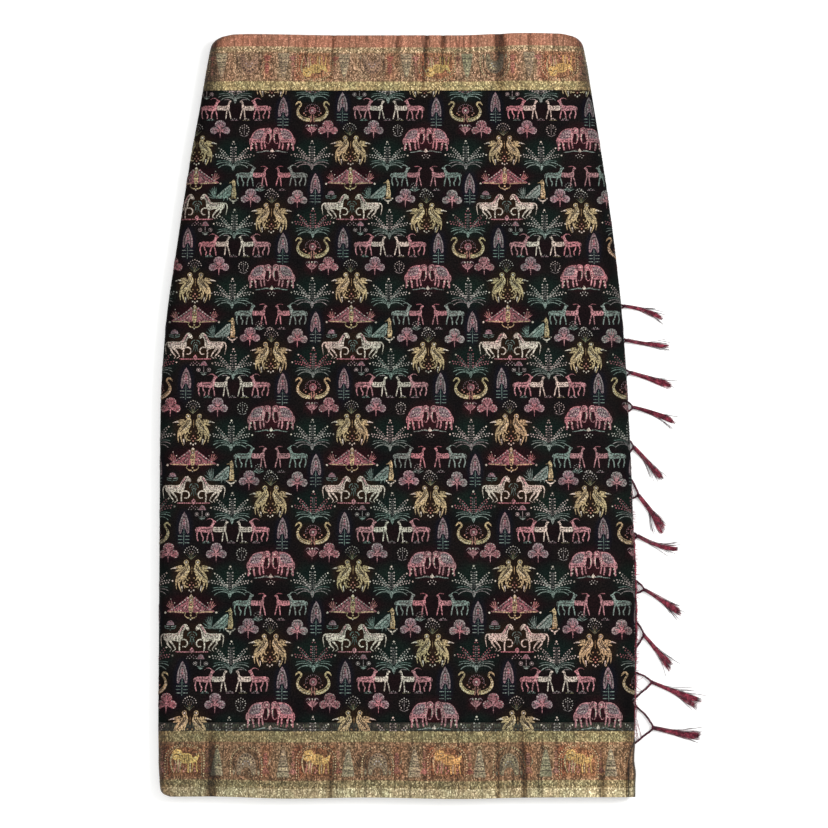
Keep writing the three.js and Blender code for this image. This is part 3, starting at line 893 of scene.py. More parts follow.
HORSES = """
cream area: 4.4,13.6 6,17.6 9,20.8 12.6,20.4 15.8,17.2 18.4,12.4 21,8.4 26,7 33,7.4 39,6.8 \
42,3.2 41.2,-1.4 37.6,-4.4 31,-3 24.4,-3.4 19.6,-5.4 16,-4 13.8,0.4 13.4,6 12.6,11 10.4,13.4 \
8,12.4 6,11.2
cream spike 2.6: 39,5.8 43.4,5.4 45.6,1 45,-5 43.8,-12.4
cream line 2.0: 17.4,-4.4 18.2,-11 17.6,-18.2
cream line 1.8: 14.8,-2 10.6,-1.6 7,-4.6 6.8,-9 9.8,-12.2 13.6,-11.6
cream spike 3.4: 36.4,-3 35.4,-8 32,-12 29.4,-15.6 31.6,-18.6
cream spike 3.2: 32.4,-3 28.2,-7.6 25,-12 23.6,-15.4 28,-18.4
+pink line 1.3: 12.4,18.8 15.4,14.6 17.8,10.2 20,7.4
+wine line 0.8: 10.6,18.6 13.6,14.4 15.6,9.6 17,4
+rose row 0.7: 19.6,6 26,4.8 33,5.2 39,4.6
+mauve row 0.7: 19,2.6 25.6,1.8 32.4,2.2 38.6,1.2
+olive row 0.6: 16,-1 22,-1.2 29,-0.8
+brown row 0.55: 12,15.4 14.2,11 15,5
+wine dots 0.65: 7.6,17.2 6,13.4
teal line 1.4: 1,9.4 4,8.6 6.2,6 6.4,3.2
mist row 0.7: 1.4,5.8 3,3.6 3.4,0
teal spike 1.5: 1.6,2 2.6,-4 4.8,-9
mist dots 1.0: 0,2.4
fern line 1.3: 0,-1 0,-9
rose line 1.9: 3,-19.4 24,-19.2
+pink row 0.6: 4,-19.4 23,-19.2
pink area: 0,-12.4 3.2,-16 2.2,-20 0,-21.6
+wine dots 0.9: 0,-16.6
mauve dots 0.95: 2.4,-24 5.6,-26 0,-26.4
pearl dots 0.8: 3,-28.6 7,-28.6
"""
DEER = """
cream area: 9,3 9.4,8 7.8,11.6 6,12.2 6.6,14.2 9.4,14.6 11.2,12 12.2,7.4 15,5.8 22,5.8 28,5.8 \
28,-0.8 20,-1.6 13,-1.2 10,-1
cream line 1.7: 10.8,0.6 8.6,-7 6.8,-15.4
cream line 1.7: 13.2,0 14,-8 14.8,-15.4
grey line 1.2: 8.4,14.8 12,16.4 17.4,15.6
+brown row 0.75: 13.4,3.9 19,4.1 26,3.9
+grey row 0.7: 14,1 19,1.2 26,1
+brown row 0.55: 10,11 10.4,6.6
pink area: 28,4.4 27.4,9 25.8,11.8 24,12.6 24.6,14.6 27.6,15.6 30,13.6 31.4,9.6 33.4,6.4 40,6 \
49,6.2 52,3.6 52.4,-1.6 48,-1 41,-2 34,-2.4 30,-2
pink spike 1.7: 27.8,15 31.4,18 36,17.8 39,15.6
pink line 1.8: 30.6,-1 28.8,-8 27.8,-15.4
pink line 1.8: 34.2,-1.6 36.4,-8 36.8,-15.4
pink line 1.8: 46,-0.6 44.6,-6.4 42.4,-9.4 43.6,-15.2
pink line 1.8: 50.8,0 52,-7 50,-15
pink spike 1.6: 51.6,4.8 54,2.2 53.6,-2
+wine line 0.9: 33.6,1.4 40,2.6 47,2.2
+rose row 0.75: 33.4,4.5 41,4.5 49,4.3
+pearl row 0.55: 29.6,9 30.4,4 31,0
+wine dots 0.6: 26.8,13.6 38,-0.6 43,-0.4
"""
BIRDS = """
gold ring 3.1: 8.4,18.4
cream dots 1.7: 8.4,18.4
gold area: 5.2,15.4 3,10.6 3,5.4 5.4,1.6 9,-1.4 13.4,-5 18.6,-10.4 23,-12.4 23.4,-6 20.6,1 16,6 \
12.6,9 11,12 9.8,15.4
gold area: 11.4,11.4 15,14 20,13.4 24.4,10.6 21,8.6 16,8 13,9.4
cream spike 3.2: 22,10.4 26,10 31,8.6
gold blade 3.2: 14.6,7.2 19,6.8 24.6,5.2
gold spike 3.6: 20,-6 22.6,-12 21.6,-20.6
gold spike 4.4: 14,-4 18,-10 17.6,-17 14.4,-25
gold spike 3.0: 9,-2 12.4,-8 12,-14 9.4,-20
gold line 1.7: 5.6,1 8,-2.6 7.4,-6.6 4.8,-8
gold line 1.7: 8.6,-9 10.8,-13 8.6,-17 4,-17.6
amber dots 1.3: 3.4,-4.6 6.6,-12.6
coral dots 1.2: 0,-11 2.6,-14.8 0,-18.6
+brown line 1.0: 6.4,14 6.6,9.6 10,5 15,0 19.4,-5
+brown line 1.0: 8.8,13 9.6,9 13,4.4 17,0
+cream row 0.65: 5.2,9 6.6,5.4 11,1.4 15.6,-2.8
+brown row 0.7: 13.4,12 18,12 22,10.8
+brown row 0.65: 16,-5 17.8,-10 15.6,-17
+cream spike 1.6: 14.4,-16 13.2,-24
cream dots 1.3: 3.4,-22.4 0,-24.4
amber line 1.0: 0,13 0,1
wine blade 2.2: 1.6,-1 0.8,-7
"""
SWANS = """
gold area: 3,-10.4 3.4,-15.4 8,-15.6 15,-13.4 21,-9 24.4,-3 24.4,3 21.6,8.6 18.8,11.6 19.2,14.2 \
21.6,14.6 24.4,12.2 26.6,10.6 25.4,14.4 22.4,17.4 18.6,17.2 16,14 16.4,10.4 19.6,6.4 21,2 \
19.4,-2.6 15,-7 9,-9.4
+amber row 0.7: 6,-12.4 13,-10.4 19,-6.2 21.6,-1
+cream row 0.65: 6,-14.2 14,-12 21,-7.4 23,-1 21.6,5
+brown line 0.8: 9,-11 15,-8.8 19,-5
+brown row 0.6: 18,10 21,6.4 22.6,2
rose disc 6.0: 0,2.4
+pink fan 1.6: 0,2.4 0,8 4.6,6.6 5.6,1.4 3.4,-3.4
+wine ring 3.2: 0,2.4
++pearl dots 1.1: 0,2.4
mauve row 0.8: 1.4,12.4 6.4,10.6 10.6,5.6 10.8,-1
rose dots 0.9: 3.4,9.8 7.8,6.6 8.6,1
coral line 1.6: 1.4,-4 2.4,-8 1.4,-12 3,-16.4
+wine line 0.8: 0,-5 0,-14
coral dots 1.2: 5,-8 13,-2 10.2,-5
"""
PEACOCK = """
gold area: 10.8,15 12.2,19 13.8,21 15.4,17.6 16.6,14 16.2,9 17.2,3 18,-3 16.6,-8.4 11.6,-8.4 \
10.4,-3 11.2,4 12.2,9 11.6,12.4
gold spike 1.6: 12.6,18.6 9.6,15.4 6.4,14.8
+brown row 0.65: 14,13 14.4,6 14.6,-1 14,-6.6
+cream row 0.65: 12.6,2 12.2,-5
+brown line 0.9: 11.8,8.6 16.4,8.6
amber line 2.4: 9.6,-9.4 13.8,-8.4 18,-9.4
cream line 2.2: 8.4,-11.6 13.6,-14.4 19,-11.6
cream dots 1.3: 7.4,-9.8 20.2,-9.8 13.8,-17
mist area: 10,11.6 5,10 0,5.6 -5,1 -10,-4 -14,-9 -8,-10 -1,-9.4 5,-8.4 9.4,-4 10.4,3
+fern line 1.0: 8.6,8 3,3 -3,-3 -10,-8
+fern line 1.0: 9.4,4 5,-1 0,-6
+pearl row 0.65: 6,9 0,3.4 -6,-2.4 -12,-7.6
+fern row 0.7: 9,0 5,-4.6 -3,-8
mist spike 1.4: 0,-9 -1.4,-14
mist spike 1.4: 4.6,-8 4.6,-13
teal fan 1.4: -14,-10 -23,4 -18.4,8 -12.6,8 -26,-1
mist fan 1.1: -15,-10 -25,-7 -20.4,6.4 -15.4,9.6
"""
print("animal charts:", 6)

# %% [markdown]
# ### Charts of the plants
# Leaves are thin lines and rows of dots round a stem. Trees and mounds are one area with its pattern on
# top.

# %% Plants
PALM = """
mist area: 0,-25.4 1.7,-22.6 2.7,-19 2,-15.6 0,-14
+teal line 0.6: 0,-23.6 0,-15
mist line 1.15: 2.2,-18.4 7,-15.8 13.4,-15.6 18.6,-17.4 22.6,-20.6
mist line 1.05: 2.2,-17 8,-13.2 15,-12 21,-12.8 26,-15.4
teal line 1.0: 2.2,-15.6 8,-11 15,-9 25,-10.2
mist line 0.85: 1.8,-14 6,-9.4 12,-6.6
pearl row 1.2: 9.4,-7.4 15,-5.2 22,-3.4 29.4,-2.4
pearl row 1.1: 8.6,-5 14,-2.2 20,-0.4 28.8,1
cream dots 1.3: 31.2,-0.8 22.2,10.8
pearl row 1.1: 3.8,-8.6 8.6,-1.6 13.6,4.6 19,9.4
pearl row 1.0: 5.6,-9 11.4,-3 16.6,2 21.4,8.2
mist line 0.7: 2.4,-12 9,-4 16.6,4.4
pearl row 1.3: 3.7,-6 3.7,16
grey row 0.8: 1.2,-11 1.2,14
cream dots 1.6: 0,21
pearl dots 0.95: 1.8,17.6
"""
CYPRESS = """
mauve area: 0,24.4 2.4,21 5,15 7,8 7.8,0 7.4,-6.4 5.4,-8 3.8,-6 2.6,-1.6 0,0.6
+grey line 1.0: 0.8,21.6 3.6,15 5.6,7 6.2,-5
+wine line 0.9: 0.6,18 2.8,13 4.3,5 4.8,-4.6
+pearl row 0.65: 1.2,14.6 2.2,10 3,3
+rose dots 1.2: 0,11.4 0,6.8
+wine dots 0.9: 0,16 0,3
teal line 1.1: 0,-0.6 0,-25
mist line 1.4: 1.8,-11.4 8.4,-11.4
teal line 1.4: 1.8,-16.4 8.4,-16.4
mist line 1.4: 1.8,-21.2 8.4,-21.2
fern line 1.0: 1,-6 3.4,-8.6
"""
TREFOIL = """
mauve area: 0,15 4.8,13.8 8,10.2 8.4,6 5,3.4 0,3
mauve area: 4,2.6 9,4.4 13.8,2.4 15.4,-2 13.4,-6.4 8.6,-7.6 4.4,-5 2.6,-1
+pink spike 1.5: 0,-1 0,12.4
+pink spike 1.4: 0.4,0 4.6,10.6
+rose spike 1.2: 1,1 6.6,8
+pink spike 1.5: 0.6,-1.6 11.6,1.6
+rose spike 1.2: 0.6,-2 13.4,-2.4
+pink spike 1.3: 0.6,-2.4 9.6,-6
+pearl row 0.7: 1.6,13.4 6,11.6 7.4,7
+pearl row 0.7: 8,3.4 13,1.4 14,-3 11,-6.4
+wine row 0.7: 3,9.6 5.4,5.6
+wine row 0.7: 7,-0.4 11.4,-4
wine dots 1.0: 3.4,3.2 2.4,-5.4
pink spike 2.2: 0,-2 0,-14
"""
MOUND = """
rose area: 3,13 6,14.6 9,11 13.6,7.6 19,3 26,-1.6 35,-6.8 30,-8.6 22,-9 13,-9.6 6,-8.6 3,-8.4
+wine line 0.9: 5,10.6 10,6.6 17,1.6 25,-3.6
+pearl row 0.9: 4.8,12.6 9,9 15,4.6 22,-0.4 29,-4.8
+gold line 1.0: 7,-9 15,-8 23,-7.6 32,-7.6
+wine line 0.9: 7,3.4 10.4,0.8 13.6,-3.6 11,-6.4 7.6,-4
+cream row 0.65: 8,0.6 10.6,-2.6
+rose line 1.2: 14.4,1.4 17.4,-1.4 21,-5.4
+wine row 0.7: 16.4,1.4 20,-2 25.6,-6
+cream row 0.6: 14.6,-5.6 19,-6.4
gold area: 0,18.4 2.6,15 2.6,10 4,4 3.6,-3 2,-9 0,-10
+brown line 0.8: 1.5,14 1.9,6.4
+cream dots 1.2: 0,15.6 0,9.4
+brown ring 1.9: 0,3
+coral dots 1.1: 0,3 0,-3.6
+brown dots 0.9: 0,-6.8
rose area: 4,10 7,9.4 8.4,5.6 5,4.4
gold spike 2.3: 1,-16.6 5.4,-16 9,-12.4 7.6,-9.4
gold dots 1.4: 0,-12.8
cream dots 1.1: 0,-18.4
rose fan 1.6: 27,-4.6 25,4.4 29,9.6 33,7.6 36.6,2.6
coral fan 1.1: 28,-5 27.4,7.4 31.6,8.4 35,5.4
cream dots 0.9: 29.4,10.8 24,5.4
cream disc 1.7: 37,-8.6
"""
LOTUS = """
pink fan 2.1: 0,-6.6 0,5 4.4,4.4 8.6,1.4
rose fan 1.5: 0,-6.6 2.4,5 6.8,3.2
mauve blade 1.7: 3,6.4 7.4,5.6 10,2.8
+wine line 0.7: 0,-5 0,2
pink spike 1.7: 0,-4 0,-11
+cream dots 0.8: 0,5.4 4,4.6
"""
BOUQUET = """
pearl row 1.0: 3.4,10.2 7,8 9.4,4.6 10,0.6
cream dots 1.0: 0,11.4
grey row 0.9: 1.8,6.8 4.8,4.8 6.4,1
mauve dots 0.9: 0,3 2.6,0.4
olive spike 0.9: 0,-8 0,6
olive spike 0.9: 0,-8 3.4,5
fern spike 0.9: 0,-8 6.8,2.6
olive spike 0.9: 0,-8 8.4,-1
"""
OVAL = """
pearl row 1.0: 3.4,6.6 6.6,3.4 6.8,-1.4 4,-5.6
pearl dots 0.95: 0,8.2
grey line 0.8: 0,-8 0,3
grey blade 1.3: 0.4,-3.6 3.6,0.6
pearl dots 0.85: 2.8,3.2 0,4.8
grey fan 1.2: 0,-10.6 4.4,-6.8 7,-7.2
"""
TRIO = """
mauve area: 0,13 2.6,12 4.6,8.4 6,6 3,5.6 0,6
+rose dots 1.0: 0,9.6 2.6,7.4
grey line 1.2: 0,5 0,-5
grey disc 3.2: 7.8,-0.4
+wine ring 1.8: 7.8,-0.4
+pearl dots 1.2: 7.8,-0.4
mist line 1.0: 1,-4.4 5,-4.4
mist area: 0,-5.4 4.4,-6.6 0,-9
"""
SMALL_LOTUS = """
mauve area: 0,7.4 3.4,6.4 5.6,2.6 5.6,0.6 0,0.6
+rose row 0.8: 1.4,5.4 4,2.8
mist line 1.3: 1,-1.6 8.4,-0.6
teal line 1.3: 0.6,-4.4 6,-4 8,-2.4
fern dots 0.9: 0,-6.4
"""
POSY = """
grey row 0.9: 1.6,6.4 4.4,4.4 5.8,1
pearl dots 0.95: 0,2.8 2.6,0
mist blade 1.4: 0.6,-7 4,-4.4 8,-3
teal blade 1.2: 0.6,-5 3,-1.4 6,-0.6
grey line 0.8: 0,0 0,-7
"""
TUFT = """
teal line 1.3: 0.8,-1.4 5.8,-1.2
mist dots 1.0: 0,1.2 2.8,0.2
"""
print("plant charts:", 11)

# %% [markdown]
# ### One repeat of the field, and Geometry Nodes to spread it
# The loom repeats the same group of figures in even rows. So one repeat is charted here, and a Geometry
# Nodes tree puts it at each point of a leaning grid. Instances cost nothing while they are placed, but
# the export drops them, so the tree ends in Realize Instances and Set Material.

# %% Chart one repeat of the field
PITCH_ACROSS = 235.0  # from one repeat to the next
PITCH_ALONG = 216.2


def dyed(**other_yarns):
    """Say which yarns take the place of a chart's own."""
    return {"other_yarns": other_yarns}


FADED = dyed(teal="mauve", mist="grey")
field_figures = Figures()
FIELD_PLAN = [  # chart, its middle in the repeat, and how it differs
    (ELEPHANTS, 0, 0),
    (HORSES, -115, 108.5),
    (DEER, -57, 48),
    (DEER, 0, -59.2, dyed(pink="mist", rose="fern", cream="pink", grey="rose")),
    (BIRDS, -115, -16),
    (BIRDS, -2, 93),
    (SWANS, 61, 44),
    (PEACOCK, -74, 132, {"mirrored": False}),
    (BOUQUET, -116.5, 14.5),
    (BOUQUET, -2, 123),
    (PALM, -58, 83),
    (PALM, 61, 85, dyed(pearl="rose")),
    (PALM, -59, -25),
    (PALM, 61, -24, dyed(mist="grey")),
    (CYPRESS, -128, 52),
    (CYPRESS, 16, 44),
    (CYPRESS, 64, 138),
    (TREFOIL, -34, 123),
    (TREFOIL, 37, 121, dyed(mauve="grey")),
    (TREFOIL, -80, 16),
    (TREFOIL, 85, 16, dyed(mauve="rose")),
    (MOUND, -115, -62),
    (LOTUS, 60, 17),
    (OVAL, -43, 15),
    (TRIO, -102, 73),
    (SMALL_LOTUS, 88, 127),
    (POSY, -20, 140),
    (TUFT, -95, 32),
    (TUFT, -58.5, 32, FADED),
    (TUFT, -40, 32, dyed(teal="olive", mist="pearl")),
    (TUFT, -22, 32, FADED),
    (TUFT, -19, -80),
    (TUFT, -1.5, -80, dyed(teal="grey", mist="pearl")),
    (TUFT, 16, -80, FADED),
]
for chart, x, y, *options in FIELD_PLAN:
    field_figures.place(chart, x, y, **dict(*options))
print("figures in one repeat:", len(FIELD_PLAN))


# %% The tree that repeats a group of figures
def tree_input(tree, name, kind, value=None):
    socket = tree.interface.new_socket(name, in_out="INPUT", socket_type=kind)
    if value is not None:
        socket.default_value = value
    return socket.identifier


def new_tree(name, takes, gives, inputs):
    """A tree, what identifies each of its named inputs, and the outputs that carry their values."""
    tree = bpy.data.node_groups.new(name, "GeometryNodeTree")
    tree.is_modifier = True
    tree_input(tree, takes, "NodeSocketGeometry")
    names = {key: tree_input(tree, *said) for key, said in inputs.items()}
    tree.interface.new_socket(gives, in_out="OUTPUT", socket_type="NodeSocketGeometry")
    return tree, names, tree.nodes.new("NodeGroupInput").outputs


def end_tree(tree, made, finish):
    """Make real what a tree has made, and give it its finish."""
    real = node(tree, "GeometryNodeRealizeInstances", Geometry=made)
    done = node(tree, "GeometryNodeSetMaterial", Geometry=real.outputs[0], Material=finish)
    tree.links.new(done.outputs[0], tree.nodes.new("NodeGroupOutput").inputs[0])


def repeat_tree():
    """A grid of points that leans, with the incoming mesh at each."""
    inputs = {
        "columns": ("Columns", "NodeSocketInt", 3),
        "rows": ("Rows", "NodeSocketInt", 3),
        "across": ("Pitch across", "NodeSocketFloat", 200.0),
        "along": ("Pitch along", "NodeSocketFloat", 200.0),
        "lean": ("Lean", "NodeSocketFloat", 0.0),
        "middle": ("Middle of the grid", "NodeSocketVector"),
        "finish": ("Finish", "NodeSocketMaterial"),
    }
    tree, names, given = new_tree("repeat in rows", "One repeat", "All repeats", inputs)
    reach = [
        maths(tree, "MULTIPLY", maths(tree, "SUBTRACT", given[count], 1.0), given[pitch])
        for count, pitch in (("Columns", "Pitch across"), ("Rows", "Pitch along"))
    ]
    grid = node(
        tree,
        "GeometryNodeMeshGrid",
        Size_X=reach[0],
        Size_Y=reach[1],
        Vertices_X=given["Columns"],
        Vertices_Y=given["Rows"],
    )
    spot = node(tree, "ShaderNodeSeparateXYZ", i0=node(tree, "GeometryNodeInputPosition").outputs[0])
    shift = node(tree, "ShaderNodeCombineXYZ", X=maths(tree, "MULTIPLY", spot.outputs["Y"], given["Lean"]))
    move = node(tree, "ShaderNodeVectorMath", i0=shift.outputs[0], i1=given["Middle of the grid"])
    placed = node(tree, "GeometryNodeSetPosition", Geometry=grid.outputs["Mesh"], Offset=move.outputs[0])
    spread = node(
        tree, "GeometryNodeInstanceOnPoints", Points=placed.outputs[0], Instance=given["One repeat"]
    )
    end_tree(tree, spread.outputs[0], given["Finish"])
    return tree, names


repeat_rows, REPEAT_INPUTS = repeat_tree()
print("tree inputs:", ", ".join(REPEAT_INPUTS))

# %% [markdown]
# ### Lay the repeats on the cloth
# The realized mesh is still flat and in millimetres: its x and y are the flat place and its z is the
# height of the float. Faces that fall outside the woven field are left out, and every point of the
# rest goes through `wrap`, so the figures follow the folds and creases exactly. Their yarn colours get
# the cloth's painted shade: darker in the crease troughs and near the side folds.


# %% Spread, trim and wrap figures
def read(elements, name, width):
    """What each element of a mesh says, as a row of numbers."""
    values = np.empty(len(elements) * width, np.float32)
    elements.foreach_get(name, values)
    return values.reshape(-1, width)


EDGE_CLEAR = 1  # how far figures keep from the cloth's own edges


def lay_on_cloth(piece, low, high):
    """Trim a flat piece to a stretch of the cloth, wrap it on the fold, and paint the cloth's shade into its
    yarn colours.
    """
    u, v, _ = read(piece.data.vertices, "co", 3).astype(float).T
    inside_v = np.clip(v, low, high)
    keep = (v > low) & (v < high)
    keep &= (u < flat_right(inside_v) - EDGE_CLEAR) & (u > flat_left(inside_v) + EDGE_CLEAR)
    work = bmesh.new()
    work.from_mesh(piece.data)
    bmesh.ops.delete(work, geom=[vert for vert, kept in zip(work.verts, keep) if not kept], context="VERTS")
    work.to_mesh(piece.data)
    work.free()
    points = read(piece.data.vertices, "co", 3).astype(float)
    folded = wrap(*points.T)
    piece.data.vertices.foreach_set("co", folded.astype(np.float32).ravel())
    # Painted shade: the yarn colours are darkened in crease troughs and near the side folds.
    colour_layer = piece.data.color_attributes["yarn"].data
    colours = read(colour_layer, "color", 4)
    colours[:, :3] *= cloth_shade(points[:, 0], points[:, 1])[:, None]
    colour_layer.foreach_set("color", colours.ravel())
    keep_flat(piece.data, points[:, :2] * MM)
    facing_out(piece.data)
    piece.data.shade_smooth()
    return piece


def facing_out(mesh):
    """Turn over the faces whose flat outline runs clockwise, which a mirrored half has."""
    flat = read(mesh.uv_layers["flat"].data, "uv", 2)
    work = bmesh.new()
    work.from_mesh(mesh)
    over = []
    start = 0
    for face in work.faces:
        ring = flat[start : start + len(face.verts)]
        start += len(ring)
        if turning(ring) < 0:
            over.append(face)
    bmesh.ops.reverse_faces(work, faces=over)
    work.to_mesh(mesh)
    work.free()


def repeated(name, mesh, finish, **inputs):
    """A piece made of a flat mesh, repeated by the tree."""
    piece = link(name, mesh, finish)
    spread = piece.modifiers.new("repeats", "NODES")
    spread.node_group = repeat_rows
    for key, value in {**inputs, "finish": finish}.items():
        spread[REPEAT_INPUTS[key]] = value
    piece.data.update()
    return made_plain(piece)


print("ready to lay figures")

# %% [markdown]
# ## The field
# First the cloth itself. Behind each figure the ground takes a little of its yarn's colour: dark red
# behind pink, brown behind gold, green behind teal. That is painted on the shell's points as a vertex
# colour, from the same plan that places the figures. Painted shade goes into the same colour: darker in
# the crease troughs and where the cloth turns down at a side fold.

# %% Weave the field
FIELD_FOOT = -470.0
FIELD_TOP = 484.5
GUARD_FOOT = -483.0  # the figures run on over the dark guard stripe
GRID_MIDDLE = (50.5, -26.8)
GRID_LEAN = -0.0125
COLUMNS, ROWS = 5, 5
STAIN_REACH = 1.25  # in half sizes of the figure
PLAIN_WEIGHT = 0.35  # of the plain ground, against a stain's 1 at its middle
FIELD_STEP = 8.0
CLIMB_BEGINS = (-425, -447, -460)  # more rows, where the right-hand edge starts to climb


def field_stains():
    """Each figure's soft patch of stained ground: middle, half size and colour."""
    red, brown, green, blue = ((50, 20, 26), (44, 30, 18), (16, 36, 30), (18, 22, 36))
    stains = {
        ELEPHANTS: (34, 24, red),
        HORSES: (46, 24, brown),
        DEER: (54, 18, (26, 13, 16)),
        BIRDS: (30, 26, brown),
        SWANS: (28, 18, (32, 20, 14)),
        PEACOCK: (24, 20, (8, 26, 24)),
        PALM: (32, 26, green),
        CYPRESS: (12, 28, blue),
        TREFOIL: (18, 16, (30, 12, 20)),
        MOUND: (42, 20, (40, 12, 18)),
        LOTUS: (12, 12, red),
    }
    return [(x, y, *stains[chart]) for chart, x, y, *_ in FIELD_PLAN if chart in stains]


def stain_and_shade_colours(u, v):
    """Ground colour at flat points, with painted shade in the creases and at the side folds."""
    middle_u, middle_v = GRID_MIDDLE
    total = np.zeros((*u.shape, 3))
    weight = np.full(u.shape, PLAIN_WEIGHT)
    for x, y, half_u, half_v, colour in field_stains():
        rise = (v - middle_v - y + PITCH_ALONG / 2) % PITCH_ALONG - PITCH_ALONG / 2
        leaning = middle_u + GRID_LEAN * (v - rise - y - middle_v)
        run = (u - leaning - x + PITCH_ACROSS / 2) % PITCH_ACROSS - PITCH_ACROSS / 2
        far = np.hypot(run / (half_u * STAIN_REACH), rise / (half_v * STAIN_REACH))
        share = 1 - smooth(far)
        total += share[..., None] * np.array(linear(colour)[:3])
        weight += share
    total += PLAIN_WEIGHT * np.array(GROUND[:3])
    # Painted shade: the stained ground is darkened in crease troughs and near the side folds.
    return total / weight[..., None] * cloth_shade(u, v)[..., None]


u, v = front_grid(rows(FIELD_FOOT, FIELD_TOP, FIELD_STEP, *CLIMB_BEGINS))
field_mesh = grid_mesh("field_cloth", u, v, wrap(u, v))
paint(field_mesh, "stain_and_shade", stain_and_shade_colours(u, v))
field_cloth = link("field_cloth", field_mesh, silk_ground)
wall(field_cloth)
print("field points:", len(field_cloth.data.vertices))

# %% [markdown]
# ### Finish of the figures
# A figure's colour is its yarn's, with the painted shade of the creases and side folds, a little uneven,
# as dyed silk is. The floats run across the cloth, so a fine wave along `v` darkens and bumps them like
# rows of weft.

# %% Figure finish
WEFT_PITCH = 0.9 * MM


def yarn_finish(name, gap, full):
    """Floats of weft. gap and full say how dark and how bright the uneven yarn gets."""
    material, tree, shader = new_finish(
        name, 0.55, Specular_IOR_Level=0.25, Sheen_Weight=0.06, Sheen_Roughness=0.35
    )
    place = flat_place(tree)
    weft = threads(tree, place, "Y", WEFT_PITCH, 0.6)
    dyeing = noise(tree, place, 430, 1.5, 0.6)
    uneven = ramp(tree, dyeing, [(0.38, gap), (0.52, 0.88), (0.66, full)])
    patches = ramp(tree, noise(tree, place, 70, 1.0), [(0.35, 0.74), (0.65, 1.2)])
    slow = noise(tree, place, 7, 1.0)
    colour_layer = ramp(tree, slow, [(0.36, (0.84, 0.96, 0.92)), (0.5, 1), (0.64, (1.1, 0.9, 0.92))])
    lines = ramp(tree, weft, [(0.0, 0.66), (0.7, 1.04)])
    shaded = multiplied(tree, painted(tree, "yarn"), uneven, patches, colour_layer, lines)
    surface(tree, shader, shaded, weft, 0.15 * MM, 0.7)
    return material


coloured_weft = yarn_finish("coloured_weft", 0.14, 1.3)
FIGURE_PIECES = []
for name, yarns in YARN_GROUPS.items():
    flat = field_figures.mesh(name, yarns)
    piece = repeated(
        name,
        flat,
        coloured_weft,
        columns=COLUMNS,
        rows=ROWS,
        across=PITCH_ACROSS,
        along=PITCH_ALONG,
        lean=GRID_LEAN,
        middle=(*GRID_MIDDLE, 0.0),
    )
    lay_on_cloth(piece, GUARD_FOOT, FIELD_TOP)
    FIGURE_PIECES.append(piece)
    print(name, "faces:", len(piece.data.polygons))

# %% [markdown]
# ## The two borders
# A saree's border is woven in one with the field, in metallic thread. Here the upper one ends in a coral
# stripe along its selvedge; the lower one starts with a dark guard stripe. Each has narrow gold bands
# around a wide coppery one. The bands are a colour ramp over the flat `v`, and small cells of lighter
# and darker colour break them up, as twisted gold thread does; the brightest cells are painted glints.

# %% Border finish
GOLD_CELL = (1.5 * MM, 1.9 * MM)  # a fleck of metal, across and along
BAND_RAGGED = 1.6 * MM  # how far a band's edge strays


def band_ramp(tree, along_v, foot, head, bands):
    """Bands between two places along the cloth: their colours, and how much each one glitters."""
    span = (head - foot) * MM
    share = maths(tree, "DIVIDE", maths(tree, "SUBTRACT", along_v, foot * MM), span)
    places = [(start - foot) / (head - foot) for start, *_ in bands]
    colours = [(at, linear(colour)) for at, (_, colour, _) in zip(places, bands)]
    glitters = [(at, glitter) for at, (_, _, glitter) in zip(places, bands)]
    return ramp(tree, share, colours, "CONSTANT"), ramp(tree, share, glitters, "CONSTANT")


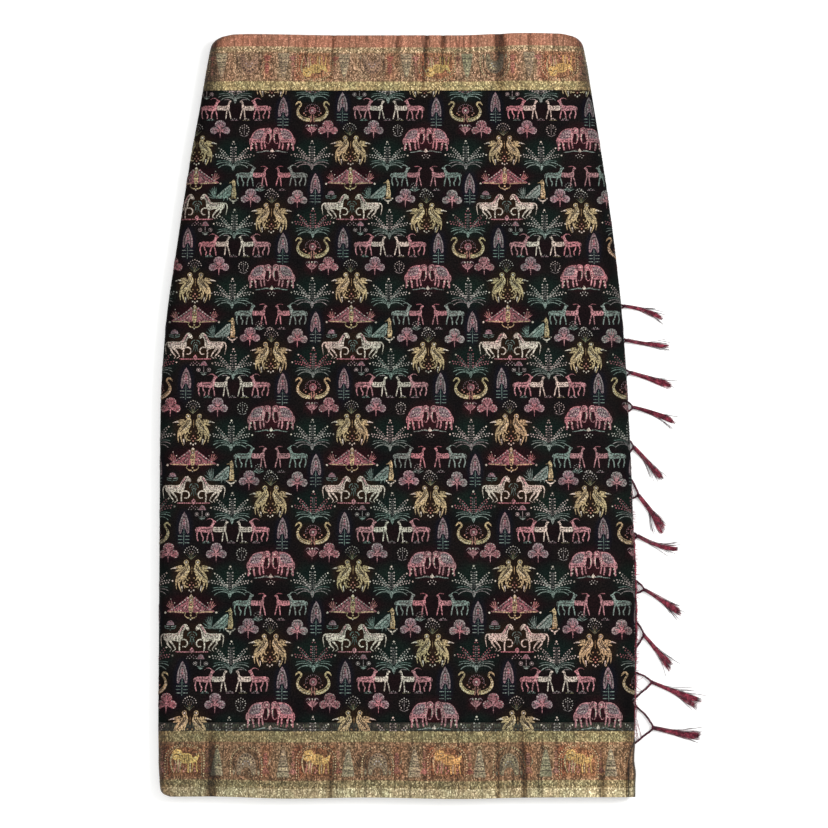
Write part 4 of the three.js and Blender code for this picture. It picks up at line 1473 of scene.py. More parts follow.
def gold_finish(name, foot, head, bands):
    """Metallic weave in bands. A band is where it starts along v, its colour and its glitter."""
    bands = [*bands, (head, *bands[-1][1:])]
    material, tree, shader = new_finish(name, 0.5, Metallic=0.15, Specular_IOR_Level=0.25, Anisotropic=0.3)
    place = flat_place(tree)
    flat = node(tree, "ShaderNodeSeparateXYZ", i0=place)
    ragged = noise(tree, place, 260, 2.0)
    along_v = maths(tree, "ADD", flat.outputs["Y"], maths(tree, "MULTIPLY", ragged, BAND_RAGGED))
    band, fleck = band_ramp(tree, along_v, foot, head, bands)
    celled = stretched(tree, place, 1 / GOLD_CELL[0], 1 / GOLD_CELL[1], 1.0)
    cells = node(tree, "ShaderNodeTexVoronoi", Vector=celled, Scale=1.0, Randomness=0.55)
    pick = node(tree, "ShaderNodeSeparateColor", i0=cells.outputs["Color"])
    # Speckle of the twisted thread; its brightest cells, lifted past the band's colour, are painted glints.
    speckle_and_glint = ramp(
        tree,
        pick.outputs[0],
        [
            (0.0, (0.23, 0.2, 0.16)),
            (0.35, (0.55, 0.55, 0.52)),
            (0.65, 1),
            (0.85, (1.54, 1.6, 1.7)),
            (1.0, (2.4, 2.6, 3.0)),
        ],
    )
    warm = ramp(tree, noise(tree, place, 40, 1.5), [(0.32, (0.93, 0.98, 0.94)), (0.68, (1.06, 0.98, 0.95))])
    # Painted shade of fine creases: thin dark lines that wander along v.
    hair = noise(tree, stretched(tree, place, 24.0, 1.8, 1.0), 1.0, 2.0, 0.6)
    beside = maths(tree, "ABSOLUTE", maths(tree, "SUBTRACT", hair, 0.5))
    fine_crease_shade = ramp(tree, beside, [(0.0, (0.5, 0.48, 0.46)), (0.012, 1)])
    drawn_out = noise(tree, stretched(tree, place, 420.0, 26.0, 1.0), 1.0, 1.0)
    streaks = ramp(tree, drawn_out, [(0.32, (0.7, 0.68, 0.66)), (0.52, 1), (0.7, 1.2)])
    wefts = threads(tree, place, "Y", 0.8 * MM, 0.5)
    ribs = threads(tree, place, "X", 1.3 * MM, 0.8)
    weave = maths(tree, "MULTIPLY", maths(tree, "ADD", wefts, 0.5), maths(tree, "ADD", ribs, 0.5))
    lines = ramp(tree, weave, [(0.2, 0.7), (1.0, 1.1)])
    glitter = mix(tree, fleck, rgba(1), speckle_and_glint)
    colour = multiplied(tree, band, glitter, painted(tree, "shade"), warm, streaks, fine_crease_shade, lines)
    height = maths(tree, "ADD", weave, maths(tree, "MULTIPLY", pick.outputs[0], 1.4))
    surface(tree, shader, colour, height, 0.16 * MM, 0.75)
    return material


UPPER_BANDS = [
    (FIELD_TOP, (180, 160, 114), 0.9),
    (499.6, (158, 124, 96), 1.0),
    (546.7, (186, 156, 120), 1.0),
    (555.5, (172, 118, 94), 0.5),
]
LOWER_BANDS = [
    (-HALF, (184, 170, 134), 0.8),
    (-561, (146, 130, 94), 1.0),
    (-550, (136, 104, 76), 1.0),
    (-497, (142, 127, 90), 0.9),
    (-481.6, (42, 38, 30), 1.0),
]
upper_gold = gold_finish("upper_border_gold", FIELD_TOP, HALF, UPPER_BANDS)
lower_gold = gold_finish("lower_border_gold", -HALF, FIELD_FOOT, LOWER_BANDS)
print("border bands:", len(UPPER_BANDS), "above and", len(LOWER_BANDS), "below")

# %% [markdown]
# ### The border's shells
# The rows lie closer together near the selvedge, because the outline's corners are round there. The
# layer right under the front one shows at the lower right corner. It follows the same fold a little
# further in, so it is the same shell pushed down.

# %% Make the borders and the next layer
CORNER_ROWS = [575, 574, 572.5, 570.5, 568, 564, 560, 556, 550]
FOOT_ROWS = [-v for v in CORNER_ROWS]
CLIMB_ROWS = [-515, -508, -500, -495, -490, -485.5, -481, -476, -472]
BORDER_STEP = 4.0
UPPER_ROW = (189.5, -127.0, 523.0)  # pitch of its figures, where one stands, and the band's middle
LOWER_ROW = (187.5, -300.5, -524.5)
TINTS = [  # where in the repeat, half width, and what the ground's colour is multiplied by
    (0.0, 26, (0.84, 0.64, 0.54)),
    (0.25, 8, (0.8, 0.84, 0.84)),
    (0.47, 20, (0.82, 0.82, 0.82)),
    (0.615, 6, (0.92, 0.76, 0.7)),
    (0.75, 8, (0.8, 0.88, 0.88)),
    (0.86, 5, (0.86, 0.66, 0.66)),
]
TINT_EDGE = (5, 7)  # how far past its half width a tint reaches, and over how much it fades
TINT_HEIGHT = (25, 5)  # half the height of a tint, and its fade
FOLD_TINT = (1.1, 0.8, 0.55)  # what the darkest fold is multiplied by, past its shade
# Painted light along u: darker where the upper border rounds away at both ends, lighter towards the right on
# the lower one.
UPPER_PAINTED_LIGHT = ([-298, -282, -262, 262, 280, 292], [0.2, 0.34, 1.0, 1.0, 0.66, 0.45])
LOWER_PAINTED_LIGHT = ([-340, -150, 80, 230, 280, 308, 343], [0.74, 0.92, 1.0, 1.1, 1.35, 1.25, 1.1])


def band_shade(u, v, row, painted_light):
    """What a border's ground is multiplied by: the painted shade of its folds, painted light along u, and a
    tint behind each kind of figure.
    """
    pitch, first, middle = row
    # Painted shade of creases and side folds, browner in the deepest folds, then painted light along u.
    light = cloth_shade(u, v)[..., None]
    tint = light * (1 - (1 - light) * (1 - np.array(FOLD_TINT)))
    tint = tint * along(*painted_light, u)[..., None]
    high = smooth((TINT_HEIGHT[0] - np.abs(v - middle)) / TINT_HEIGHT[1])
    for share, half, colour in TINTS:
        off = (u - first - share * pitch + pitch / 2) % pitch - pitch / 2
        near = smooth((half + TINT_EDGE[0] - np.abs(off)) / TINT_EDGE[1]) * high
        tint = tint * (1 + (np.array(colour) - 1) * near[..., None])
    return tint


def border_shell(name, from_v, to_v, finish, more, *tinting):
    """A stretch of the front layer with a border's finish, and its painted shade, painted light and tints as
    a vertex colour.
    """
    u, v = front_grid(rows(from_v, to_v, BORDER_STEP, *more))
    mesh = grid_mesh(name, u, v, wrap(u, v))
    paint(mesh, "shade", band_shade(u, v, *tinting))
    return wall(link(name, mesh, finish))


upper_cloth = border_shell(
    "upper_border_cloth", FIELD_TOP, HALF, upper_gold, CORNER_ROWS, UPPER_ROW, UPPER_PAINTED_LIGHT
)
lower_cloth = border_shell(
    "lower_border_cloth", -HALF, FIELD_FOOT, lower_gold, FOOT_ROWS + CLIMB_ROWS, LOWER_ROW, LOWER_PAINTED_LIGHT
)
print("border points:", len(upper_cloth.data.vertices) + len(lower_cloth.data.vertices))

# %% [markdown]
# The next layer is dark along the seam with the front one and where it turns down, because little light
# gets there. Its outer edge waves a little.

# %% Make the next layer
UNDER = 1.5  # from the front layer's face to the next one's
NEXT_STEP = 5.0
NEXT_FLAP = 14  # how far it runs on under the front layer
NEXT_TURN = -78
NEXT_TUCK = (0.8, -494, 8)  # how much deeper it goes, from where, and over how far
NEXT_DARKEST = 0.1  # along the seam with the front layer
NEXT_LIGHT = 0.95
NEXT_FADES = 4.0
NEXT_V = [-575, -560, -542, -523, -498, -480]  # how far out it lies, as its edge waves
NEXT_OUT = [1.6, 1.8, 2.9, 0.9, 2.2, 0]
RIM_FROM = 62  # degrees round the fold
RIM_DARKENS = 0.8
NEXT_TOP = -448.5


def next_grid():
    """Flat places of the next layer, where it shows at the lower right corner."""
    v = rows(-HALF, NEXT_TOP, NEXT_STEP, *FOOT_ROWS, *CLIMB_ROWS)
    fold = right_edge(v) - BEND_ACROSS
    flap = np.linspace(-1, 0, 6)[:-1] * NEXT_FLAP
    off = np.concatenate([flap, np.linspace(0, 1, 20) * (arc_to(NEXT_TURN) + 1)])
    return fold[:, None] + off[None, :], np.repeat(v[:, None], len(off), axis=1)


u, v = next_grid()
tuck = NEXT_TUCK[0] * smooth((v - NEXT_TUCK[1]) / NEXT_TUCK[2])
places = wrap(u, v, -UNDER - tuck)
places[..., 0] += along(NEXT_V, NEXT_OUT, v) * MM
next_mesh = grid_mesh("next_layer_cloth", u, v, places)
seam_light = NEXT_DARKEST + (1 - NEXT_DARKEST) * smooth((u - flat_right(v) + 0.5) / NEXT_FADES)
rim = smooth((u - right_edge(v) + BEND_ACROSS - arc_to(RIM_FROM)) / NEXT_FADES)
next_shade = NEXT_LIGHT * seam_light * (1 - RIM_DARKENS * rim)
paint(next_mesh, "shade", np.repeat(next_shade[..., None], 3, axis=-1))
next_layer = wall(link("next_layer_cloth", next_mesh, lower_gold))
print("next layer points:", len(next_layer.data.vertices))

# %% [markdown]
# ### Figures of the borders
# The wide band holds a row of pointed arches of small dots, with a gold elephant and its calf, pillars
# of pale dashes like little trees, and coral stems between them. On the upper border they stand on their
# heads, because both borders point towards the field in the same way when the saree is worn.

# %% Charts of the borders
DOTTED_ARCH = """
straw row 1.05: 27.4,-22 27.8,2 25.4,11 19.4,17.6 10.4,21.4 1.8,22.6
straw row 0.6: 24.4,-21 24.6,1 22.4,9.6 16.8,15.8 8.8,19.2 1.6,20.4
"""
ELEPHANT_AND_CALF = """
honey area: -17,3 -18.4,9 -16,14.6 -11,16.8 -6,15.6 -3.6,11 -4,6 -7,3 -10,1.4 -14,1
gold spike 3.4: -16.6,10 -19.8,3 -19.4,-5 -17.4,-13 -15,-17
straw line 1.0: -14,1 -11.6,-5
coral line 2.0: -12.6,-2 -13.4,-9 -15,-15.6
honey area: -5,10 2,10.6 9,9 11.4,3 10,-3 3,-4 -4,-3 -7,2
+amber line 0.8: -2.6,9.4 -3,-2
+brown line 0.7: 0.4,9.6 0,-2.6
+amber line 0.8: 2.4,9.6 2.2,-3
+brown line 0.7: 5.4,9.4 5.4,-3
+amber line 0.8: 7.6,8.6 7.6,-3
gold spike 2.6: -9,2 -9.6,-7 -11.4,-17
coral line 1.6: -7.4,-2 -8.4,-9 -8.6,-16
gold spike 2.6: -5,-1 -6.4,-9 -6,-17
honey line 2.0: 6,-3 5,-10 5.6,-17
straw line 1.2: 8.4,-3 8,-10 8.6,-16.4
honey area: 10,1 12,5 16,6.4 19,9 21,8.4 19.8,4.6 18.4,0 14,-3 10,-3
honey line 1.5: 12,-2 11.6,-9 10.6,-16.4
honey line 1.5: 17,-1 17.4,-9 18.6,-16.4
straw line 1.0: 19,8 20.6,12
straw line 1.0: 16.6,7 16.4,11
+amber row 0.7: -15.6,12 -10,13.6 -6,11.4
+brown line 0.8: -16,7 -11,9.4 -6.6,7
+straw dots 0.9: -13.4,5.4 -9,12 -6.4,9 15,3.4
coral dots 1.5: -2,-8 1.4,-12 -1,-15 14.4,-11 14.8,-15
"""
DASHED_PILLAR = """
sage area: 0,-21 8.6,-21 8.2,-14 6.6,-4 4.6,6 2.4,15 0,18
+brown line 0.8: 0.4,14 2.4,13.6
+straw row 0.8: 0.8,10.6 3.4,10.2
+brown line 0.8: 0.6,7.4 4.2,7
+straw row 0.8: 0.8,4 4.8,3.6
+brown line 0.9: 0.6,0.8 5.8,0.4
+olive row 0.8: 0.8,-2.6 6,-3
+brown line 0.9: 0.6,-6 7,-6.4
+straw row 0.8: 0.8,-9.4 7,-9.8
+brown line 0.9: 0.6,-12.8 7.8,-13.2
+olive row 0.8: 0.8,-16.4 7.8,-16.4
straw row 0.8: 1,21.6 3.4,18.6
"""
GREY_ARCH = """
straw row 1.0: 22.4,-21 22,0 19,9.6 13,16 5.6,19.6 1.6,20.4
taupe area: 0,12 5,10.4 10,6 13,-1 14,-12 13,-19 8,-20 6.4,-12 3,-9 0,-8
+brown row 0.9: 1.6,8.6 6,6.4 9.6,1.4 10.4,-6
+straw row 0.8: 1.6,4.6 5,2.6 7.4,-2.4
+pearl row 0.9: 2,0 4.6,-4
+brown line 0.8: 8.4,-8 12,-10
+straw row 0.7: 9,-13 11.4,-17
taupe line 1.4: 3.4,-14 4,-20
sage fan 1.3: 18,-20 15.4,-12 17,-9 19.4,-12
brown line 0.8: 17.6,-14 17.4,0 13.6,8.6 7.6,14
"""
CORAL_STEM = """
rust area: 0,13 2.6,10 3.2,4 2.8,-4 0,-6
+brown line 0.8: 0,9 2.8,9
+brown line 0.8: 0,3 3,3
+brown line 0.8: 0,-2 3,-2
+coral row 0.7: 1,11 1.2,-4
rust area: 0,-7 4,-11 6.4,-18 2.6,-16 0,-19
+coral row 0.7: 1,-9 3.4,-15
sage blade 1.5: 3,-6 6.4,0 6,6
"""
CORAL_LEAF = """
rust area: 0,-8 3.4,-11 6.4,-17 3,-15.4 0,-18
+brown line 0.8: 1,-10 3.4,-14.6
rust fan 1.3: 0,-7 0,2 3.4,0
coral row 0.8: 0.6,5 1,16
"""
GUARD_ROW = """
fern line 0.8: -3.4,3.6 -3.4,-1
olive line 0.8: -1,3 -1,-1.4
fern line 0.8: 1.4,3.6 1.4,-1
olive line 0.8: 3.8,3 3.8,-1.4
fern dots 0.7: -3.4,-4.6 0.4,-4.4
"""
CHEVRON = """
olive line 0.9: 0,-2.2 3.4,2.2
"""
print("border charts:", 8)

# %% [markdown]
# The plan of one border repeat is the same for both borders. Only the pitch, the middle of the band and
# the way up differ. The same tree spreads them, with a single row.

# %% Weave the border figures
BORDER_PLAN = [  # where in the repeat, as a share of the pitch
    (DOTTED_ARCH, 0.0),
    (ELEPHANT_AND_CALF, 0.0, {"mirrored": False}),
    (DASHED_PILLAR, 0.245),
    (CORAL_LEAF, 0.17),
    (GREY_ARCH, 0.47),
    (CORAL_STEM, 0.615),
    (DASHED_PILLAR, 0.75),
    (CORAL_LEAF, 0.825, dyed(rust="coral")),
]
BORDER_YARNS = "gold amber brown olive coral pearl fern rust sage honey straw taupe".split()
BORDER_COLUMNS = 6
COLUMNS_BEFORE = -2  # whole repeats to the left of the one that the row names
border_weft = yarn_finish("border_weft", 0.32, 1.4)


def border_figures(name, row, turned, low, high, edges):
    """Figures of one border. Its edges are rows of small charts at their own pitch."""
    pitch, first_u, middle_v = row
    figures = Figures()
    for chart, share, *options in BORDER_PLAN:
        figures.place(chart, share * pitch, 0, turned=turned, **dict(*options))
    for chart, at_v, small_pitch in edges:
        count = round(pitch / small_pitch)
        for i in range(count):
            figures.place(chart, i * pitch / count, at_v - middle_v)
    middle_u = first_u + pitch * (COLUMNS_BEFORE + (BORDER_COLUMNS - 1) / 2)
    piece = repeated(
        name,
        figures.mesh(name, BORDER_YARNS),
        border_weft,
        columns=BORDER_COLUMNS,
        rows=1,
        across=pitch,
        middle=(middle_u, middle_v, 0.0),
    )
    return lay_on_cloth(piece, low, high)


lower_edges = [(GUARD_ROW, -475.5, 14.0), (CHEVRON, -489.5, 7.0), (CHEVRON, -556, 7.0)]
upper_edges = [(CHEVRON, 491.5, 7.0), (CHEVRON, 550.6, 6.0)]
lower_figures = border_figures("lower_border_figures", LOWER_ROW, 1, -574, -470.5, lower_edges)
upper_figures = border_figures("upper_border_figures", UPPER_ROW, -1, 485, 574, upper_edges)
print("border figure faces:", len(lower_figures.data.polygons) + len(upper_figures.data.polygons))

# %% [markdown]
# ## The folds under the front layer
# Between the two side folds lies the rest of the length, folded to and fro. Only its edges show, at the
# two selvedge ends. So it is a pile of closed plies with round rims, each a little longer or shorter
# than the next, as hand-folded cloth is, and a little wavy along its edge.

# %% Pile up the plies
PLY_PITCH = 0.86
PLY_THICK = 0.66
PLY_FOOT = 1.5
PLY_HEAD = 13.4
FOLD_MIDDLE = 8.8
PLY_SPREAD = 3.2  # how unevenly their selvedges lie
FOLD_SHY = 1.3  # how far they stay inside the front layer's fold
END_POINTS = 64
SIDE_POINTS = 30
FLAPS_UP_TO = 1.4  # over the first ply, they lie between the two turned flaps
FLAPS_IN = 3
PLY_RIM = ((0, 0.3), (0.25, 0.04), (0.75, 0.04), (1, 0.3))  # height and set-back of its round rim


def ring_across(right, left, points):
    """x up the right side, along the upper end, down the left side and back; and the shares of an end."""
    share = np.linspace(0, 1, points + 2)[1:-1]
    head = right[-1] + (left[-1] - right[-1]) * share
    foot = left[0] + (right[0] - left[0]) * share
    return np.concatenate([right, head, left[::-1], foot]), share


def ply_outline(inset_side, inset_end, wander):
    """A ring of flat points round the saree, right side first, then the upper end."""
    v = np.concatenate([FOOT_ROWS, np.linspace(-540, 540, SIDE_POINTS), CORNER_ROWS[::-1]])
    v = np.unique(v)
    shrink = (HALF - inset_end) / HALF
    xs, share = ring_across(right_edge(v) - inset_side, left_edge(v) + inset_side, END_POINTS)
    bulge = wander[0] * np.sin(wander[1] * share * math.pi) + 0.4 * np.sin(wander[2] * share * math.pi + 1)
    ys = np.concatenate([v, HALF + bulge, v[::-1], -HALF - bulge[::-1]])
    return xs, waved(xs, ys * shrink)


def add_plate(corners, faces, rings):
    """Close a stack of rings into a plate."""
    start = sum(len(c) for c in corners)
    count = len(rings[0])
    corners += rings
    for level in range(len(rings) - 1):
        for i in range(count):
            a = start + level * count + i
            b = start + level * count + (i + 1) % count
            faces.append((a, b, b + count, a + count))
    faces.append(tuple(reversed(range(start, start + count))))
    last = start + (len(rings) - 1) * count
    faces.append(tuple(range(last, last + count)))


def ply_pile():
    """Plies from the floor up, each with its own length and waver."""
    chance = np.random.default_rng(7)
    corners, faces = [], []
    for i in range(int((PLY_HEAD - PLY_FOOT) / PLY_PITCH) + 1):
        foot = PLY_FOOT + PLY_PITCH * i
        middle = foot + PLY_THICK / 2
        up = min(0.98, abs(middle - FOLD_MIDDLE) / (BEND_DOWN - CLOTH - 0.2))
        side = BEND_ACROSS - (BEND_ACROSS - CLOTH - FOLD_SHY) * math.sqrt(1 - up * up)
        between_flaps = foot < PLY_FOOT + FLAPS_UP_TO
        side = BEND_ACROSS + TURN_UNDER + FLAPS_IN if between_flaps else side
        end = 0.6 + PLY_SPREAD * chance.random() + (FLAPS_IN if between_flaps else 0)
        wander = (0.5 * chance.random(), 2 + 5 * chance.random(), 7 + 9 * chance.random())
        rings = []
        for height, back in PLY_RIM:
            xs, ys = ply_outline(side + back, end + back, wander)
            rings.append(np.column_stack([xs, ys, np.full(len(xs), foot + PLY_THICK * height)]) * MM)
        add_plate(corners, faces, rings)
    return mesh_of("inner_folds", corners, faces)


def selvedge_finish():
    """Black cloth whose two ends are the borders' selvedges, with painted shade between its plies."""
    material, tree, shader = new_finish("selvedge_edges", 0.6, Sheen_Weight=0.1)
    place = node(tree, "ShaderNodeTexCoord").outputs["Object"]
    flat = node(tree, "ShaderNodeSeparateXYZ", i0=place)
    reach = HALF * MM
    share = node(tree, "ShaderNodeMapRange", Value=flat.outputs["Y"], From_Min=-reach, From_Max=reach)
    ends = ramp(
        tree,
        share.outputs[0],
        [
            (0.0, linear((150, 136, 104))),
            (0.045, linear((104, 78, 60))),
            (0.09, GROUND),
            (0.92, GROUND),
            (0.96, linear((120, 88, 70))),
            (1.0, linear((150, 92, 76))),
        ],
    )
    grain = ramp(tree, noise(tree, place, 700), [(0.3, 0.6), (0.7, 1.25)])
    storey = maths(tree, "DIVIDE", maths(tree, "SUBTRACT", flat.outputs["Z"], PLY_FOOT * MM), PLY_PITCH * MM)
    # Painted shade in the gap between one ply and the next.
    ply_gap_shade = ramp(tree, maths(tree, "FRACT", storey), [(0.0, 0.3), (0.2, 1.1), (0.5, 1), (0.72, 0.3)])
    layers = noise(tree, stretched(tree, place, 9.0, 9.0, 900.0), 1.0, 1.0)
    uneven = ramp(tree, layers, [(0.35, 0.6), (0.65, 1.3)])
    colour = multiplied(tree, ends, grain, ply_gap_shade, uneven)
    surface(tree, shader, colour, noise(tree, place, 1100, 2.0), 0.1 * MM)
    return material


selvedge = selvedge_finish()
inner_folds = link("inner_folds", ply_pile(), selvedge)
print("ply points:", len(inner_folds.data.vertices))

# %% [markdown]
# ## The end of the saree and its bound edge
# The end of the length lies lowest, and its cut edge comes out a little at the right. A maker binds that
# edge with knotted yarn, so here a cord of two plies runs along it, with short ends of broken thread
# sticking out between the tassels.

# %% Where the cut edge is
END_EDGE = ([-575, -512, -490, -300, -200, -120, -40, 575], [-2.5, -1.5, 1, 3.5, 1.8, -1, -5, -5.5])
HEADING_WIDTH = 3.2
END_INSET = 3.0
LEFT_INSET = 4.0
END_THICK = 1.1
END_ACROSS = 24  # points along each hem


def cut_edge(y):
    """x of the bound edge."""
    return right_edge(y) + along(*END_EDGE, y)


def end_panel_mesh():
    """The far end as one thin plate with a round rim."""
    ys = np.unique(np.concatenate([FOOT_ROWS, np.linspace(-545, 545, 56), CORNER_ROWS]))
    shrink = (HALF - END_INSET) / HALF
    right = cut_edge(ys * shrink) - HEADING_WIDTH * 0.6
    xs, _ = ring_across(right, left_edge(ys) + LEFT_INSET, END_ACROSS)
    hem = np.full(END_ACROSS, HALF)
    ring_y = np.concatenate([ys, hem, ys[::-1], -hem]) * shrink
    middle_x = (xs.max() + xs.min()) / 2
    rings = []
    for height, back in ((0, 0.25), (0.25, 0), (0.75, 0), (1, 0.25)):
        x = xs - np.sign(xs - middle_x) * back
        y = ring_y - np.sign(ring_y) * back * (np.abs(ring_y) > HALF - 20)
        rings.append(np.column_stack([x, waved(x, y), np.full(len(x), END_THICK * height)]) * MM)
    corners, faces = [], []
    add_plate(corners, faces, rings)
    return mesh_of("end_cloth", corners, faces)


end_cloth = link("end_cloth", end_panel_mesh(), selvedge)
print("cut edge at the middle:", round(float(cut_edge(0)), 1), "mm")

# %% [markdown]
# ### Threads along curves
# Fringes and cords are many threads of the same make, each along its own path. So the paths are drawn
# as one curve object, with a radius at each point, and a Geometry Nodes tree gives them all a round
# section with few sides. Its inputs are the thread's radius and its number of sides.


# %% The tree that spins threads
def thread_tree():
    """A round section along each path, as thick as the path says."""
    inputs = {
        "radius": ("Thread radius", "NodeSocketFloat", 0.0003),
        "sides": ("Sides", "NodeSocketInt", 4),
        "finish": ("Finish", "NodeSocketMaterial"),
    }
    tree, names, given = new_tree("spin threads", "Paths", "Threads", inputs)
    section = node(
        tree, "GeometryNodeCurvePrimitiveCircle", Resolution=given["Sides"], Radius=given["Thread radius"]
    )
    spun = node(
        tree,
        "GeometryNodeCurveToMesh",
        Curve=given["Paths"],
        Profile_Curve=section.outputs[0],
        Fill_Caps=True,
    )
    if "Scale" in spun.inputs:
        tree.links.new(node(tree, "GeometryNodeInputRadius").outputs[0], spun.inputs["Scale"])
    end_tree(tree, spun.outputs[0], given["Finish"])
    return tree, names


spin_threads, THREAD_INPUTS = thread_tree()
THREAD_SIDES = 4


def spun(name, paths, radius, finish, sides=THREAD_SIDES):
    """A piece of threads along some paths. A path is its points in mm and its thickness share."""
    curve = bpy.data.curves.new(name, "CURVE")
    curve.dimensions = "3D"
    for points, thick in paths:
        spline = curve.splines.new("POLY")
        spline.points.add(len(points) - 1)
        spots = np.column_stack([points * MM, np.ones(len(points))])
        spline.points.foreach_set("co", spots.astype(np.float32).ravel())
        spline.points.foreach_set("radius", np.broadcast_to(thick, len(points)).astype(np.float32))
    drawn_paths = in_scene(name + "_paths", curve)
    spin = drawn_paths.modifiers.new("spin", "NODES")
    spin.node_group = spin_threads
    for key, value in (("radius", radius * MM), ("sides", sides), ("finish", finish)):
        spin[THREAD_INPUTS[key]] = value
    mesh = evaluated(drawn_paths)
    mesh.name = name
    bpy.data.objects.remove(drawn_paths)
    return link(name, mesh, finish)


def silk_yarn_finish(name, colour, light):
    """Twisted silk yarn: fine slanted stripes, brighter on some threads than on others. Strands differ in
    tone, and the ramp's dark end is painted shade between strands, its light end painted highlight.
    """
    material, tree, shader = new_finish(name, 0.5, Specular_IOR_Level=0.25, Anisotropic=0.4)
    place = node(tree, "ShaderNodeTexCoord").outputs["Object"]
    strands = noise(tree, place, 900, 2.0, 0.7)
    bunches = noise(tree, place, 160, 1.0)
    blend = maths(tree, "ADD", maths(tree, "MULTIPLY", strands, 0.7), maths(tree, "MULTIPLY", bunches, 0.3))
    # Painted shade at the dark end of the ramp, painted highlight at its light end.
    painted_strand_shade = [c * 0.2 for c in linear(colour)[:3]]
    shade = ramp(tree, blend, [(0.4, painted_strand_shade), (0.5, linear(colour)), (0.62, linear(light))])
    surface(tree, shader, shade, strands, 0.12 * MM, 0.6)
    return material


maroon_yarn = silk_yarn_finish("maroon_silk_yarn", (88, 16, 38), (182, 74, 92))
dark_yarn = silk_yarn_finish("dark_bound_yarn", (66, 18, 36), (120, 54, 72))
stray_yarn = silk_yarn_finish("stray_grey_yarn", (84, 68, 74), (132, 118, 122))
pale_yarn = silk_yarn_finish("pale_pink_yarn", (176, 128, 138), (218, 188, 194))
print("thread tree inputs:", ", ".join(THREAD_INPUTS))

# %% [markdown]
# ### Bind the edge
# Two plies twist round each other along the whole edge. A short stitch every few millimetres ties them
# to the cloth, and now and then a broken thread sticks out.

# %% Cord, stitches and broken threads on the edge
EDGE_FROM, EDGE_TO = -504.0, 544.0
TWIST = 6.5  # length of one turn
TWIST_REACH = 0.45  # from the cord's middle to a ply's
PLY_RADIUS = 0.78
STITCH_PITCH = 6.0
BROKEN_THREADS = (230, -500, -60)  # how many, and the stretch that they lie on
THIN_SIDES = 3


def edge_paths():
    """The cord's two plies, lumpy as spun yarn."""
    y = np.arange(EDGE_FROM, EDGE_TO, 0.9)
    lumps = np.sin(y / 7.3) * np.sin(y / 3.1 + 1) + 0.5 * np.sin(y / 17 + 2)
    thick = (1.1 + 0.32 * lumps) * along([-120, -40], [1.6, 0.8], y)
    paths = []
    for start in (0, math.pi):
        turn = 2 * math.pi * y / TWIST + start
        x = cut_edge(y) - 1.0 + TWIST_REACH * np.cos(turn) + 0.3 * lumps
        z = 0.5 + PLY_RADIUS * thick + TWIST_REACH * np.sin(turn)
        paths.append((np.column_stack([x, y, z]), thick))
    return paths


def stitch_paths(chance):
    paths = []
    for y in np.arange(EDGE_FROM + 2, EDGE_TO - 2, STITCH_PITCH):
        x = cut_edge(y)
        reach = 2.4 + 0.8 * chance.random()
        slant = 1.4 * (chance.random() - 0.5)
        points = [(x - reach, y - slant, 1.2), (x - reach + 1, y - slant, 2.0), (x - 0.8, y, 2.25)]
        points += [(x + 0.1, y + slant, 1.4), (x - 0.2, y + slant, 0.4)]
        paths.append((np.array(points), 0.6))
    return paths


def broken_paths(chance, count, low, high):
    paths = []
    for _ in range(count):
        y = low + (high - low) * chance.random()
        length = 1.6 + 6 * chance.random() ** 3
        lean = 3.4 * (chance.random() - 0.5)
        curl = 1.6 * (chance.random() - 0.5)
        t = np.linspace(0, 1, 6)
        x = cut_edge(y) - 0.8 + length * t
        path = np.column_stack([x, y + lean * t + curl * np.sin(math.pi * t), 0.9 - 0.5 * t])
        paths.append((path, 0.42 * (1 - 0.4 * t)))
    return paths


chance = np.random.default_rng(11)
edge_cord = spun("edge_binding", edge_paths() + stitch_paths(chance), PLY_RADIUS, maroon_yarn)
broken = broken_paths(chance, *BROKEN_THREADS)
edge_strays = spun("edge_broken_threads", broken, PLY_RADIUS, pale_yarn, THIN_SIDES)
print("edge faces:", len(edge_cord.data.polygons), "and", len(edge_strays.data.polygons))

# %% [markdown]
# ## The tassels
# Each tassel hangs on two legs of twisted yarn that leave the bound edge, meet in a wound knot and open
# into a skirt of fine threads. A table gives where each one lies, because no two lie alike.

# %% Where each tassel lies, in millimetres
TASSELS = [  # legs, knot, tip, sway, spread, split
    ((150, 141), (345.5, 147), (400, 128), 3.5, 1.5, 0),
    ((97, 89), (348.5, 94), (408.5, 86), -1.5, 1.1, 0),
    ((50.5, 37), (353, 44.5), (413, 24), 0.5, 1.6, 0),
    ((3.5, -19), (354.5, -8.5), (414.5, -30.5), 2, 1.5, 0),
    ((-53, -80), (354, -68.5), (393.5, -116), 0.8, 1.4, 1),
    ((-113, -146), (359, -140.5), (394.5, -192), 1, 1.5, 5),
    ((-196, -206), (356.5, -201), (412.5, -219.5), -3.5, 1.2, 0),
    ((-266, -284.5), (364.5, -280), (416, -313.5), 0.5, 1.5, 0),
    ((-326, -364), (362, -345), (400.5, -392.5), 0.8, 1.8, 2),
    ((-399, -436), (372, -413), (438, -443), 1, 1.8, 4),
    ((-446, -501), (372.5, -478), (437.5, -491), -0.5, 1.6, 1.5),
]
THREAD_RADIUS = 0.3
KNOT_HIGH = 2.65
LEG_HIGH = 1.5  # at the bound edge
LEG_BOW = (0.4, 0.1)
LEG_TURN = 7.5  # length of one turn
LEG_TWIST = (0.95, 0.55)  # how far its strands lie from its middle, aside and up


def leg_line(y, knot, bow, t):
    """The middle of one leg, from the bound edge at y to the knot."""
    root = np.array([float(cut_edge(y)) - 0.6, y, LEG_HIGH])
    end = np.array([*knot, KNOT_HIGH])
    line = root + (end - root) * t[:, None]
    line[:, 1] += (y - knot[1]) * bow * t * (1 - t) ** 0.7
    line[:, 2] = LEG_HIGH + (KNOT_HIGH - LEG_HIGH) * smooth((t - 0.3) / 0.7)
    return line


